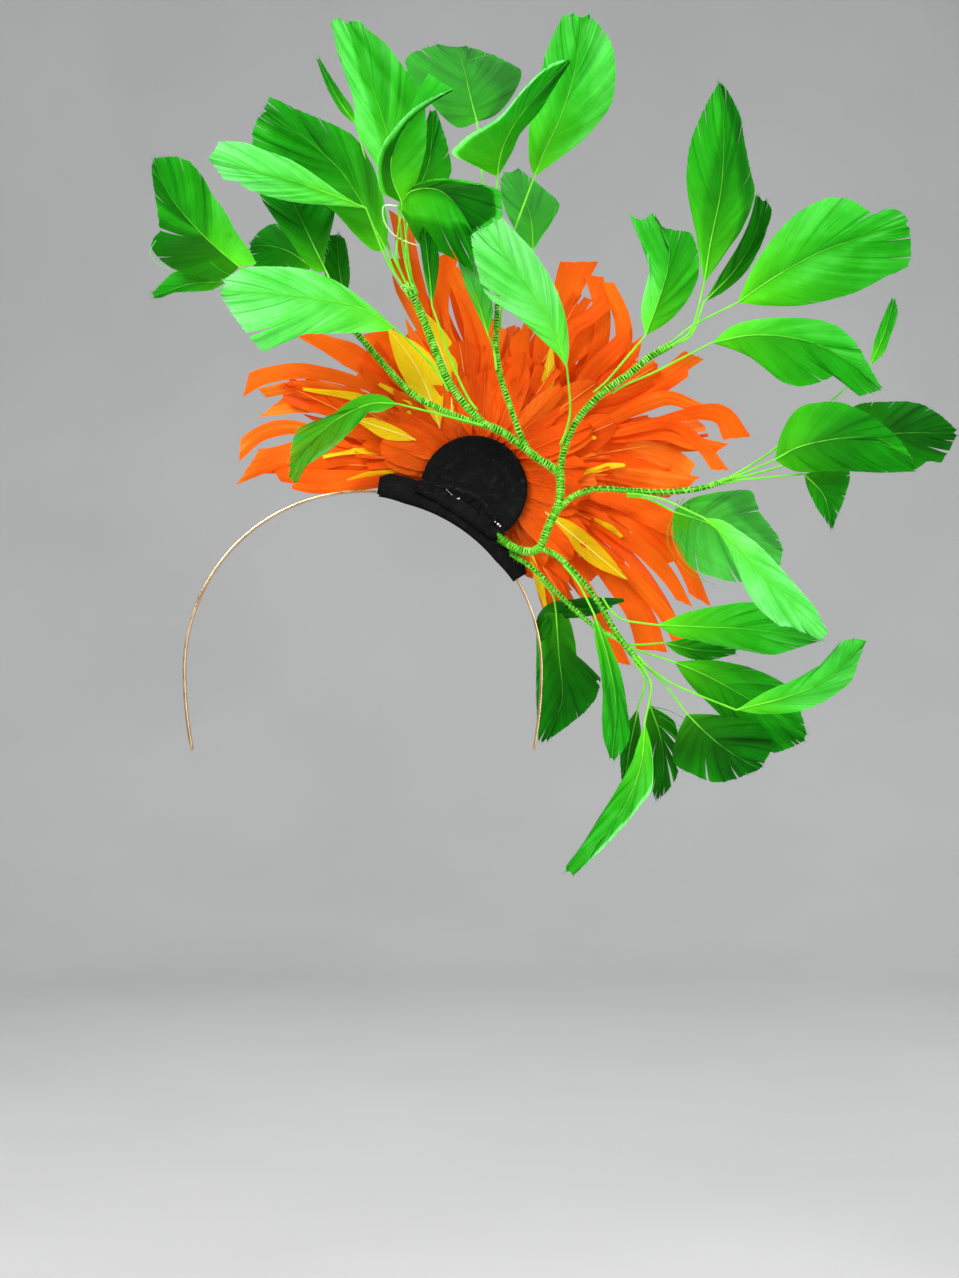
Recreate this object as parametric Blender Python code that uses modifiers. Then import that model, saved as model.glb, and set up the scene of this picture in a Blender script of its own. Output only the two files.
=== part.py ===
# Feather fascinator: a thin metal headband, a black felt saddle over it, an upright round felt
# back plate with a felt patch over its foot, a burst of cut orange feathers on the front of the
# plate, and thread-wrapped wire sprays behind it that carry green leaf-shaped feathers.
#
# Metres, +Z up, the wearer looks along +Y. The origin is the point of the crown that the saddle
# sits on. Places are set out on a rear elevation: u to the right and v down in units of UNIT at the
# plane y = 0, drawn in perspective from SIGHT behind that plane, with y as the depth.
import math

import bmesh
import bpy
from mathutils import Vector

for old in list(bpy.data.objects):
    bpy.data.objects.remove(old, do_unlink=True)

# ---------------------------------------------------------------- driving sizes
UNIT = 0.00045            # one unit of the rear elevation
SIGHT = 1.10              # the elevation's viewing distance
EYE_U, EYE_V = 479.5, 639.0
ORIGIN_U, ORIGIN_V = 455.0, 520.0

CROWN_U, CROWN_V = 363.0, 670.0   # centre of the crown's circle
CROWN_R = 0.0792                  # crown radius in the plane of the band

BAND_R = 0.0797           # inner radius of the headband
BAND_THICK = 0.0012
BAND_WIDE = 0.0045
BAND_LEG = 0.036          # straight leg below the crown's centre
BAND_TOE_IN = 0.0035      # how far each leg's end turns in

FELT = 0.0020             # felt thickness
STRIP_FROM, STRIP_TO = 85.0, 30.6      # ends of the saddle, degrees round the crown
STRIP_HALF = 0.0115       # half the saddle's foot, front to back
STRIP_SHAPE = 1.5         # 1 is a sharp ridge, 2 a round one
DISC_U, DISC_V = 474.0, 489.0
DISC_R = 0.0240
SEAT_GAP = 0.0004         # clearance between neighbouring pieces

QUILL_HALF = 0.00062      # half the width of a stripped quill
VANE_THICK = 0.0011       # feather wall, barbs included
HUB_U, HUB_V, HUB_Y = 482.0, 474.0, 0.0150
HUB_R = 0.0112

# ---------------------------------------------------------------- materials and helpers
COLOURS = {
    "band_gold": ((0.80, 0.56, 0.22, 1.0), 0.28, 1.0),
    "felt_black": ((0.012, 0.012, 0.013, 1.0), 0.95, 0.0),
    "thread_green": ((0.10, 0.50, 0.03, 1.0), 0.75, 0.0),
    "feather_green": ((0.08, 0.62, 0.06, 1.0), 0.60, 0.0),
    "feather_orange": ((0.86, 0.15, 0.005, 1.0), 0.60, 0.0),
    "feather_yellow": ((0.86, 0.62, 0.01, 1.0), 0.60, 0.0),
}

home = bpy.data.collections.new("feather_fascinator")
tools = bpy.data.collections.new("cutters")
bpy.context.scene.collection.children.link(home)
bpy.context.scene.collection.children.link(tools)


def material(name, base):
    colour, rough, metal = COLOURS[base]
    mat = bpy.data.materials.new(name)
    mat.use_nodes = True
    shader = mat.node_tree.nodes["Principled BSDF"]
    shader.inputs["Base Color"].default_value = colour
    shader.inputs["Roughness"].default_value = rough
    shader.inputs["Metallic"].default_value = metal
    return mat


def place(u, v, y):
    """World point of elevation point (u, v) at depth y."""
    k = UNIT * (SIGHT + y) / SIGHT
    return Vector(((EYE_U - ORIGIN_U) * UNIT + (u - EYE_U) * k, y,
                   -(EYE_V - ORIGIN_V) * UNIT - (v - EYE_V) * k))


def add(name, mesh, base, where=None):
    mesh.materials.clear()
    mesh.materials.append(material(name + "_finish", base))
    ob = bpy.data.objects.new(name, mesh)
    (where or home).objects.link(ob)
    return ob


def from_bmesh(bm, name):
    mesh = bpy.data.meshes.new(name)
    bm.to_mesh(mesh)
    bm.free()
    mesh.shade_smooth()
    return mesh


def modifier(ob, kind, **values):
    mod = ob.modifiers.new(kind.lower(), kind)
    for key, value in values.items():
        setattr(mod, key, value)
    return mod


def solid(ob, thickness, offset=0.0):
    modifier(ob, "SOLIDIFY", thickness=thickness, offset=offset, use_rim=True)


def through(points, count):
    """count + 1 evenly spaced points on a smooth curve through the given points."""
    pts = [Vector(p) for p in points]
    pts = [pts[0] * 2 - pts[1]] + pts + [pts[-1] * 2 - pts[-2]]
    fine = []
    for i in range(1, len(pts) - 2):
        a, b, c, d = pts[i - 1:i + 3]
        for k in range(12):
            t = k / 12
            fine.append(0.5 * ((2 * b) + (c - a) * t + (2 * a - 5 * b + 4 * c - d) * t ** 2
                               + (3 * b - a - 3 * c + d) * t ** 3))
    fine.append(pts[-2])
    run = [0.0]
    for a, b in zip(fine, fine[1:]):
        run.append(run[-1] + (b - a).length)
    out, j = [], 0
    for k in range(count + 1):
        want = run[-1] * k / count
        while j < len(run) - 2 and run[j + 1] < want:
            j += 1
        out.append(fine[j].lerp(fine[j + 1], (want - run[j]) / max(run[j + 1] - run[j], 1e-9)))
    return out


def tangent(path, i):
    return (path[min(i + 1, len(path) - 1)] - path[max(i - 1, 0)]).normalized()


# ---------------------------------------------------------------- headband
crown = place(CROWN_U, CROWN_V, 0.0)


def round_crown(degrees, radius, y=0.0):
    a = math.radians(degrees)
    return crown + Vector((radius * math.cos(a), y, radius * math.sin(a)))


def band_point(k, count):
    """Point k of count along the band: right leg up, over the crown, left leg down."""
    arc, leg = math.pi * BAND_R, BAND_LEG
    s = (arc + 2 * leg) * k / count
    if s < leg or s > leg + arc:
        side = 1 if s < leg else -1
        down = leg - s if side > 0 else s - leg - arc
        return crown + Vector((side * (BAND_R - BAND_TOE_IN * (down / leg) ** 2), 0, -down))
    return round_crown(math.degrees((s - leg) / BAND_R), BAND_R)


BAND_STEPS = 36
bm = bmesh.new()
bmesh.ops.create_grid(bm, x_segments=BAND_STEPS, y_segments=1, size=1.0)
for vert in bm.verts:
    k = round((vert.co.x + 1) / 2 * BAND_STEPS)
    side = vert.co.y
    taper = 0.55 if k in (0, BAND_STEPS) else 1.0
    vert.co = band_point(k, BAND_STEPS) + Vector((0, side * taper * BAND_WIDE / 2, 0))
headband = add("headband", from_bmesh(bm, "headband"), "band_gold")
solid(headband, BAND_THICK, 1.0)
modifier(headband, "BEVEL", width=0.0003, segments=1, limit_method="ANGLE")

# ---------------------------------------------------------------- felt saddle over the band
# ridge height over the crown at each place along the saddle
SADDLE = (
    # (share of length, ridge height)
    (0.00, 0.0083),
    (0.06, 0.0101),
    (0.30, 0.0092),
    (0.60, 0.0088),
    (0.94, 0.0078),
    (1.00, 0.0066),
)


def from_table(table, t):
    for (t0, a), (t1, b) in zip(table, table[1:]):
        if t <= t1:
            k = (t - t0) / (t1 - t0)
            k = k * k * (3 - 2 * k)
            return a + (b - a) * k
    return table[-1][1]


def saddle_half(height, ridge):
    """How far the saddle's outer face is from its middle plane at a height over the crown."""
    return STRIP_HALF * max(0.0, 1 - height / ridge) ** (1 / STRIP_SHAPE)


STRIP_LONG, STRIP_ACROSS = 12, 8
bm = bmesh.new()
bmesh.ops.create_grid(bm, x_segments=STRIP_LONG, y_segments=STRIP_ACROSS, size=1.0)
for vert in bm.verts:
    t, q = (vert.co.x + 1) / 2, vert.co.y
    ridge = from_table(SADDLE, t)
    foot = 0.0002 + 0.0015 * max(0.0, 1 - 6 * min(t, 1 - t))
    height = foot + (ridge - foot) * (1 - abs(q) ** STRIP_SHAPE)
    y = STRIP_HALF * q
    fall = y * y / (2 * 0.097)             # the crown also falls away front and back
    deg = STRIP_FROM + (STRIP_TO - STRIP_FROM) * t
    vert.co = round_crown(deg, CROWN_R + height - fall * abs(q), y)
felt_strip = add("felt_strip", from_bmesh(bm, "felt_strip"), "felt_black")
solid(felt_strip, FELT, -1.0)

# ---------------------------------------------------------------- upright felt back plate
bm = bmesh.new()
bmesh.ops.create_cone(bm, cap_ends=True, cap_tris=False, segments=40, radius1=DISC_R, radius2=DISC_R, depth=FELT)
felt_disc = add("felt_disc", from_bmesh(bm, "felt_disc"), "felt_black")
felt_disc.rotation_euler = (math.pi / 2, 0, 0)
felt_disc.location = place(DISC_U, DISC_V, 0.0)
bm = bmesh.new()
bmesh.ops.create_cone(bm, cap_ends=True, cap_tris=False, segments=96, radius1=CROWN_R + 0.0106,
                      radius2=CROWN_R + 0.0106, depth=0.02)
foot_cut = add("disc_foot_cut", from_bmesh(bm, "disc_foot_cut"), "felt_black", tools)
foot_cut.rotation_euler = (math.pi / 2, 0, 0)
foot_cut.location = crown
foot_cut.hide_render = True
foot_cut.display_type = "WIRE"
modifier(felt_disc, "BOOLEAN", operation="DIFFERENCE", object=foot_cut, solver="EXACT")
modifier(felt_disc, "BEVEL", width=0.0004, segments=1, limit_method="ANGLE", angle_limit=math.radians(40))

# ---------------------------------------------------------------- felt patch over the plate's foot
PATCH = (
    # (degrees round the crown, lower edge over the crown, upper edge over the crown)
    (73.5, 0.0040, 0.0088),
    (68.0, 0.0034, 0.0102),
    (62.0, 0.0026, 0.0125),
    (56.5, 0.0022, 0.0140),
    (51.0, 0.0022, 0.0122),
    (46.0, 0.0030, 0.0098),
    (43.5, 0.0048, 0.0090),
)
PATCH_ROWS = 4
bm = bmesh.new()
bmesh.ops.create_grid(bm, x_segments=len(PATCH) - 1, y_segments=PATCH_ROWS, size=1.0)
for vert in bm.verts:
    i = round((vert.co.x + 1) / 2 * (len(PATCH) - 1))
    q = (vert.co.y + 1) / 2
    deg, low, high = PATCH[i]
    height = low + (high - low) * q
    ridge = from_table(SADDLE, (STRIP_FROM - deg) / (STRIP_FROM - STRIP_TO))
    lean = max(saddle_half(height, ridge), FELT / 2) + FELT * 0.5 + 0.0013
    vert.co = round_crown(deg, CROWN_R + height, -lean)
felt_patch = add("felt_patch", from_bmesh(bm, "felt_patch"), "felt_black")
solid(felt_patch, 0.0018, 0.0)

# ---------------------------------------------------------------- thread-wrapped wire stems
BRANCHES = {
    # name: (radius at root, radius at end, ((u, v, depth in mm), ...)); the first point is on the parent
    "trunk": (0.0019, 0.0021, ((503, 541, -9), (522, 551, -12), (539, 548, -14), (549, 525, -15), (558, 506, -16),
                               (560.5, 487, -16), (560, 472, -16))),
    "left": (0.0020, 0.0019, ((560, 474, -16), (550, 466, -16.5), (537, 458, -17), (524, 447.5, -17), (502, 432, -17.5),
                              (481, 423, -18))),
    "spray_a": (0.0016, 0.0015, ((483, 424, -18), (463, 419, -18), (440, 409, -18.5), (415, 396, -19), (394, 376, -20),
                                 (371, 350, -21), (347, 322, -22))),
    "spray_b": (0.0018, 0.0020, ((485, 425, -18), (467, 407, -19), (450, 384, -20), (437, 355, -21.5), (425, 323, -22.5),
                                 (408, 285, -24))),
    "spray_c": (0.0015, 0.0013, ((528, 450, -17), (518, 429, -18), (510, 406, -18), (500, 375, -17.5), (496, 344, -17),
                                 (497, 308, -16.5), (497, 284, -16))),
    "spray_d": (0.0016, 0.0018, ((560, 475, -16), (564, 450, -17), (578, 419, -19), (604, 391.5, -21), (629, 374, -23),
                                 (650, 357, -24.5), (671, 345, -26))),
    "spray_e": (0.0014, 0.0014, ((558, 510, -16), (574, 496, -18), (597, 489, -20), (628, 490.5, -22), (660, 492, -23.5),
                                 (697, 489, -25), (734, 478, -26))),
    "spray_f": (0.0014, 0.0015, ((538, 548, -14), (557, 556, -15), (581, 580, -17), (600, 605, -18.5), (619, 637, -20),
                                 (643, 667, -22))),
}
LOWER_BRANCH = (0.0012, 0.0012, ((516, 557, -9), (537, 572, -10.5), (562, 598, -11.5), (590, 623, -12), (614, 638, -12)))


def tube(name, row, steps):
    r0, r1, points = row
    path = through([place(u, v, y / 1000) for u, v, y in points], steps)
    data = bpy.data.curves.new(name, "CURVE")
    data.dimensions = "3D"
    data.bevel_depth = 1.0
    data.bevel_resolution = 2
    data.use_fill_caps = True
    spline = data.splines.new("POLY")
    spline.points.add(len(path) - 1)
    for i, point in enumerate(path):
        spline.points[i].co = (*point, 1.0)
        spline.points[i].radius = r0 + (r1 - r0) * i / steps
    guide = bpy.data.objects.new(name + "_wire", data)
    tools.objects.link(guide)
    bpy.context.view_layer.update()
    mesh = bpy.data.meshes.new_from_object(guide.evaluated_get(bpy.context.evaluated_depsgraph_get()))
    mesh.transform(guide.matrix_world)
    bpy.data.objects.remove(guide, do_unlink=True)
    bm = bmesh.new()
    bm.from_mesh(mesh)
    bmesh.ops.remove_doubles(bm, verts=bm.verts, dist=1e-6)
    bmesh.ops.recalc_face_normals(bm, faces=bm.faces)
    bm.to_mesh(mesh)
    bm.free()
    mesh.shade_smooth()
    return mesh, path


paths = {}
main_stem = None
for name, row in BRANCHES.items():
    steps = 2 * (len(row[2]) - 1)
    mesh, paths[name] = tube(name, row, steps)
    if main_stem is None:
        main_stem = add("wrapped_stems", mesh, "thread_green")
        continue
    part = add(name + "_limb", mesh, "thread_green", tools)
    part.hide_render = True
    part.display_type = "WIRE"
    modifier(main_stem, "BOOLEAN", operation="UNION", object=part, solver="EXACT")
mesh, paths["lower"] = tube("lower", LOWER_BRANCH, 8)
lower_stem = add("wrapped_stem_lower", mesh, "thread_green")

RADII = {name: row[:2] for name, row in BRANCHES.items()}
RADII["lower"] = LOWER_BRANCH[:2]

# ---------------------------------------------------------------- green feathers
# host and share: the branch that the quill is bound to and how far along it (1 is its end)
# base, mid, tip: elevation points of the shaft where the vane starts, at its middle and at its end
# yb, ym, yt: their depths in mm; wl, wr: half widths of the vane to the left and right of the shaft
# peak: where the vane is widest; cut: how blunt its end is; fl, fr: fold of each half towards the back (+) or rear (-)
GREEN = (
    # name    host       share  base        mid         tip         yb   ym   yt   wl  wr  peak  cut   fl     fr
    ("01", "spray_a", 1.00, (240, 267), (190, 218), (157, 163), -28, -31, -36, 40, 31, 0.40, 0.40, 0.45, -0.20),
    ("02", "spray_a", 1.00, (222, 290), (188, 284), (153, 297), -14, -10, -6, 8, 12, 0.50, 0.05, 0.30, 0.30),
    ("03", "spray_a", 1.00, (316, 277), (288, 255), (254, 246), -8, 0, 5, 18, 25, 0.50, 0.60, 0.20, 0.25),
    ("04", "spray_a", 1.00, (326, 271), (309, 236), (286, 197), -18, -19, -16, 24, 24, 0.80, 0.80, 0.15, 0.30),
    ("05", "spray_b", 0.42, (395, 328), (305, 299), (226, 294), -35, -43, -48, 38, 30, 0.58, 0.90, -0.15, 0.20),
    ("06", "spray_b", 1.00, (365, 209), (297, 183), (212, 158), -37, -44, -52, 19, 20, 0.60, 0.60, 0.10, 0.25),
    ("07", "spray_b", 1.00, (386, 250), (335, 165), (260, 104), -23, -20, -26, 27, 30, 0.55, 0.60, 0.20, 0.25),
    ("08", "spray_b", 1.00, (403, 205), (380, 110), (346, 22), -29, -30, -40, 28, 38, 0.50, 0.45, 0.20, 0.15),
    ("09", "spray_b", 1.00, (402, 203), (396, 140), (452, 92), -46, -56, -66, 15, 10, 0.40, 0.10, 0.35, 0.60),
    ("10", "spray_b", 1.00, (357, 126), (337, 97), (319, 61), -14, -13, -12, 5, 5, 0.50, 0.05, 0.50, 0.50),
    ("11", "spray_c", 1.00, (477, 122), (468, 86), (458, 47), 8, 15, 22, 54, 46, 0.70, 0.80, 0.12, 0.12),
    ("12", "spray_c", 1.00, (497, 178), (503, 117), (567, 61), -22, -30, -38, 40, 17, 0.28, 0.15, 0.30, 0.20),
    ("13", "spray_c", 1.00, (534, 178), (561, 118), (584, 18), -10, -6, -4, 31, 44, 0.55, 0.45, 0.18, 0.20),
    ("14", "spray_c", 0.86, (535, 250), (530, 212), (522, 174), 0, 6, 10, 25, 27, 0.60, 0.60, 0.20, 0.30),
    ("15", "spray_b", 1.00, (409, 205), (432, 158), (430, 112), -18, -14, -12, 12, 20, 0.45, 0.50, 0.25, 0.20),
    ("16", "spray_b", 1.00, (398, 209), (443, 190), (484, 238), -42, -46, -38, 24, 34, 0.55, 0.50, 0.25, 0.45),
    ("17", "spray_d", 0.30, (567, 368), (533, 292), (486, 228), -36, -46, -54, 38, 25, 0.68, 0.90, 0.18, 0.12),
    ("18", "spray_c", 0.62, (488, 335), (477, 299), (461, 262), -26, -24, -22, 10, 14, 0.50, 0.30, 0.20, 0.20),
    ("19", "spray_b", 0.28, (432, 306), (431, 287), (429, 264), -32, -33, -34, 6, 5, 0.50, 0.10, 0.40, 0.40),
    ("20", "spray_d", 0.60, (645, 336), (666, 284), (668, 228), -20, -13, -6, 24, 28, 0.55, 0.80, 0.20, 0.20),
    ("21", "spray_d", 1.00, (703, 283), (722, 190), (721, 84), -34, -39, -48, 34, 30, 0.45, 0.08, 0.22, 0.20),
    ("22", "spray_d", 1.00, (704, 302), (746, 258), (764, 202), -16, -10, -6, 16, 14, 0.60, 0.35, 0.20, 0.35),
    ("23", "spray_d", 1.00, (737, 302), (820, 248), (906, 228), -31, -34, -32, 46, 48, 0.50, 0.45, 0.20, 0.18),
    ("24", "spray_d", 0.72, (711, 343), (803, 341), (872, 390), -24, -38, -46, 21, 42, 0.45, 0.35, 0.35, 0.25),
    ("25", "spray_e", 1.00, (870, 366), (885, 334), (893, 300), -12, -15, -17, 6, 7, 0.45, 0.10, 0.40, 0.40),
    ("26", "spray_e", 1.00, (775, 460), (845, 435), (913, 463), -38, -44, -48, 34, 34, 0.45, 0.35, 0.25, 0.20),
    ("27", "spray_e", 1.00, (835, 447), (890, 432), (955, 438), -22, -19, -14, 29, 29, 0.60, 0.20, 0.15, 0.20),
    ("28", "spray_e", 1.00, (804, 474), (826, 494), (832, 527), -30, -27, -25, 17, 11, 0.30, 0.05, 0.30, 0.20),
    ("29", "spray_e", 0.50, (674, 512), (726, 531), (781, 551), -20, -13, -8, 33, 38, 0.55, 0.70, 0.20, 0.15),
    ("30", "spray_e", 0.56, (704, 518), (765, 577), (824, 634), -42, -50, -58, 18, 23, 0.62, 0.60, 0.15, 0.15),
    ("31", "spray_f", 0.60, (657, 625), (740, 629), (823, 639), -26, -31, -34, 25, 25, 0.50, 0.30, 0.18, 0.18),
    ("32", "lower", 1.00, (664, 643), (697, 650), (736, 652), -12, -8, -5, 8, 10, 0.45, 0.20, 0.25, 0.20),
    ("33", "spray_f", 1.00, (736, 710), (811, 689), (861, 641), -30, -40, -52, 19, 21, 0.55, 0.55, 0.20, 0.30),
    ("34", "lower", 1.00, (674, 662), (740, 694), (803, 731), -13, -11, -12, 26, 25, 0.52, 0.70, 0.12, 0.15),
    ("35", "spray_f", 1.00, (687, 714), (722, 747), (764, 767), -23, -19, -15, 27, 31, 0.55, 0.60, 0.15, 0.15),
    ("36", "spray_f", 1.00, (650, 706), (663, 752), (656, 798), -12, -7, -2, 18, 13, 0.60, 0.40, 0.15, 0.20),
    ("37", "spray_f", 1.00, (645, 722), (638, 789), (570, 873), -34, -44, -56, 15, 14, 0.60, 0.35, 0.20, 0.20),
    ("38", "spray_f", 1.00, (638, 708), (630, 746), (624, 786), -22, -20, -18, 8, 9, 0.50, 0.20, 0.20, 0.20),
    ("39", "spray_f", 0.30, (594, 614), (613, 690), (612, 760), -29, -36, -42, 15, 12, 0.62, 0.55, 0.20, 0.25),
    ("40", "lower", 0.42, (556, 612), (560, 668), (562, 738), -3, 8, 16, 26, 18, 0.62, 0.60, 0.15, 0.20),
    ("41", "spray_a", 0.14, (398, 404), (336, 420), (293, 480), -30, -38, -46, 20, 12, 0.50, 0.20, 0.15, 0.20),
    ("42", "spray_a", 1.00, (345, 300), (339, 268), (337, 236), -4, 2, 6, 9, 12, 0.60, 0.60, 0.20, 0.20),
)


def width_at(t, peak, cut):
    """Share of the vane's full half width at share t from its base to its end."""
    if t < peak:
        return math.sin(math.pi / 2 * t / peak) ** 0.8
    k = (t - peak) / (1 - peak)
    return cut + (1 - cut) * max(0.0, 1 - k ** 2.2) ** 0.75


def quill_roots():
    """Where each quill meets its branch: beside the thread along it, fanned round the end face at its end."""
    roots, rings = {}, {}
    for row in GREEN:
        name, host, share, base = row[:4]
        path = paths[host]
        at = min(int(share * (len(path) - 1)), len(path) - 1)
        point, way = path[at], tangent(path, at)
        r0, r1 = RADII[host]
        thick = r0 + (r1 - r0) * share
        out = place(*base, row[6] / 1000) - point
        across = (out - way * out.dot(way)).normalized()
        if share < 1:
            roots[name] = (point + across * (thick + QUILL_HALF + VANE_THICK / 2 + SEAT_GAP), way, across)
        else:
            rings.setdefault(host, []).append((name, point, way, across))
    for host, ring in rings.items():
        way, first = ring[0][2], ring[0][3]
        other = way.cross(first)
        angled = sorted((math.atan2(a.dot(other), a.dot(first)), name) for name, _, _, a in ring)
        count = len(angled)
        radius = max(0.0010, count * 0.0024 / (2 * math.pi))
        least = 2 * math.pi / count * 0.98
        angles = [a for a, _ in angled]
        for _ in range(200):
            for i in range(count):
                j = (i + 1) % count
                space = (angles[j] - angles[i]) + (2 * math.pi if j == 0 else 0)
                if count > 1 and space < least:
                    push = (least - space) / 2
                    angles[i] -= push
                    angles[j] += push
        for (_, name), a in zip(angled, angles):
            across = first * math.cos(a) + other * math.sin(a)
            roots[name] = (ring[0][1] + way * (0.0016) + across * radius, way, across)
    return roots


VANE_STEPS, QUILL_STEPS = 6, 3
roots = quill_roots()
for (name, host, share, base, mid, tip, yb, ym, yt, wl, wr, peak, cut, fl, fr) in GREEN:
    root, way, across = roots[name]
    b, m, t = place(*base, yb / 1000), place(*mid, ym / 1000), place(*tip, yt / 1000)
    gap = (b - root).length
    lead = root + (way * 0.6 + across * 0.15 + (b - root).normalized() * 0.4).normalized() * gap * 0.35
    quill = through((root, lead, b), QUILL_STEPS)
    vane = through((b, m, t), VANE_STEPS)
    shaft = quill[:-1] + vane
    rows = len(shaft) - 1
    bm = bmesh.new()
    bmesh.ops.create_grid(bm, x_segments=rows, y_segments=2, size=1.0)
    for vert in bm.verts:
        i, side = round((vert.co.x + 1) / 2 * rows), round(vert.co.y)
        along = tangent(shaft, i)
        rear = Vector((0, -1, 0))
        rear = (rear - along * rear.dot(along)).normalized()
        left = rear.cross(along)
        share_t = max(0.0, (i - QUILL_STEPS) / VANE_STEPS)
        half = width_at(share_t, peak, cut) * (wl if side > 0 else wr) * UNIT if i > QUILL_STEPS else 0.0
        half = max(half, QUILL_HALF if i <= QUILL_STEPS else 0.0012)
        fold = (fl if side > 0 else fr) if i > QUILL_STEPS else 0.0
        vert.co = shaft[i] + left * half * side - rear * half * fold * abs(side)
    feather = add("green_feather_" + name, from_bmesh(bm, "green_feather_" + name), "feather_green")
    solid(feather, VANE_THICK, 0.0)

# ---------------------------------------------------------------- orange feather burst
hub = place(HUB_U, HUB_V, HUB_Y)
# rear tiers: direction in the elevation (degrees, 0 is right, 90 up), reach and half width in units;
# the blades alternate between two leans, so that neighbours pass each other
REAR_LEANS = (-5.0, 8.0)
REAR_TIER = (
    # deg    reach  half
    (177.0, 246, 17),
    (166.0, 214, 15),
    (157.5, 254, 13),
    (146.0, 196, 15),
    (134.0, 196, 16),
    (121.0, 196, 15),
    (109.5, 268, 12),
    (98.0, 230, 17),
    (86.0, 176, 15),
    (75.0, 178, 14),
    (62.0, 238, 24),
    (47.0, 196, 14),
    (33.0, 240, 15),
    (22.0, 226, 12),
    (10.0, 266, 15),
    (-1.0, 236, 16),
    (-12.0, 208, 15),
    (-24.0, 268, 15),
    (-34.0, 262, 16),
    (-46.0, 246, 17),
    (-57.0, 228, 12),
)
# forward tiers: (lean towards the front, blades, first direction, last direction, reach, half width)
FRONT_TIERS = (
    (27.0, 13, 168.0, -52.0, 205, 17),
    (50.0, 10, 172.0, -48.0, 190, 17),
    (74.0, 6, 200.0, -80.0, 165, 16),
)
BLADE_STEPS = 5
BLADE_THICK = 0.0012
BLADE_SHARE = 0.40        # a blade's half width is at most this share of the pitch


def leaning(degrees, lean):
    a, e = math.radians(degrees), math.radians(lean)
    return Vector((math.cos(a) * math.cos(e), math.sin(e), math.sin(a) * math.cos(e)))


def blades():
    """(direction, length, half width, pitch in radians) of every blade."""
    out = []
    for i, (deg, reach, half) in enumerate(REAR_TIER):
        lean = REAR_LEANS[i % 2]
        # an end that leans away is drawn smaller by the perspective, so it is made longer to match
        length = reach * UNIT * (1 + reach * UNIT * math.sin(math.radians(lean)) / SIGHT)
        near = [abs(REAR_TIER[j][0] - deg) for j in (i - 2, i + 2) if 0 <= j < len(REAR_TIER)]
        out.append((leaning(deg, lean), length, half * UNIT, math.radians(min(near))))
    for lean, count, first, last, reach, half in FRONT_TIERS:
        pitch = abs(last - first) / (count - 1)
        for k in range(count):
            out.append((leaning(first + (last - first) * k / (count - 1), lean), reach * UNIT, half * UNIT,
                        math.radians(pitch) * math.cos(math.radians(lean))))
    return out


def blade_width(t):
    return (0.16 + 0.84 * math.sin(math.pi / 2 * min(1.0, t / 0.7)) ** 1.2) * (1.0 if t < 0.85 else 0.72)


bm = bmesh.new()
bmesh.ops.create_icosphere(bm, subdivisions=3, radius=HUB_R)
for vert in bm.verts:
    vert.co += hub
free = set(bm.faces)
plan = []
for way, length, half, pitch in blades():
    face = max(free, key=lambda f: (f.calc_center_median() - hub).normalized().dot(way))
    free.discard(face)
    plan.append((face, way, length, half, pitch))
for face, way, length, half, pitch in plan:
    # a triangle of the hub is the blade's foot: it is drawn out ring by ring along the shaft
    across = Vector((0, 1, 0)).cross(way).normalized()
    flat = way.cross(across).normalized()
    corners = sorted(face.verts, key=lambda v: v.co.dot(across))
    side = 1.0 if (corners[1].co - (corners[0].co + corners[2].co) / 2).dot(flat) > 0 else -1.0
    for k in range(1, BLADE_STEPS + 1):
        t = k / BLADE_STEPS
        face = bmesh.ops.extrude_discrete_faces(bm, faces=[face])["faces"][0]
        out = HUB_R * 1.25 + (length - HUB_R * 1.25) * ((k - 1) / (BLADE_STEPS - 1))
        wide = max(min(half * blade_width(t), BLADE_SHARE * pitch * out), 0.0008)
        centre = hub + way * out
        corners = sorted(face.verts, key=lambda v: v.co.dot(across))
        corners[0].co = centre - across * wide
        corners[2].co = centre + across * wide
        corners[1].co = centre + flat * side * BLADE_THICK
bmesh.ops.recalc_face_normals(bm, faces=bm.faces)
flower = add("orange_feather_burst", from_bmesh(bm, "orange_feather_burst"), "feather_orange")

# ---------------------------------------------------------------- yellow feathers behind the burst
YELLOW = (
    # name  base        mid         tip         yb ym yt  wl  wr
    ("01", (440, 428), (421, 380), (392, 331), 3.0, 2.5, 1.0, 17, 16),
    ("02", (452, 418), (447, 360), (420, 312), 4.5, 6.0, 6.0, 10, 10),
    ("03", (416, 440), (390, 428), (356, 419), 2.6, 1.6, 0.0, 9, 9),
    ("04", (530, 450), (546, 408), (549, 350), 4.0, 3.0, 1.0, 6, 6),
    ("05", (545, 512), (585, 545), (626, 579), 3.5, 3.0, 1.0, 12, 12),
)
YELLOW_STEPS = 8
for name, base, mid, tip, yb, ym, yt, wl, wr in YELLOW:
    shaft = through([place(*p, y / 1000 - 0.0008) for p, y in ((base, yb), (mid, ym), (tip, yt))], YELLOW_STEPS)
    bm = bmesh.new()
    bmesh.ops.create_grid(bm, x_segments=YELLOW_STEPS, y_segments=2, size=1.0)
    for vert in bm.verts:
        i, side = round((vert.co.x + 1) / 2 * YELLOW_STEPS), round(vert.co.y)
        along = tangent(shaft, i)
        rear = Vector((0, -1, 0))
        rear = (rear - along * rear.dot(along)).normalized()
        half = max(0.0007, width_at(i / YELLOW_STEPS, 0.5, 0.04) * (wl if side > 0 else wr) * UNIT)
        vert.co = shaft[i] + rear.cross(along) * half * side
    feather = add("yellow_feather_" + name, from_bmesh(bm, "yellow_feather_" + name), "feather_yellow")
    solid(feather, 0.0010, 0.0)
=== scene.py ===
import math

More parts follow.
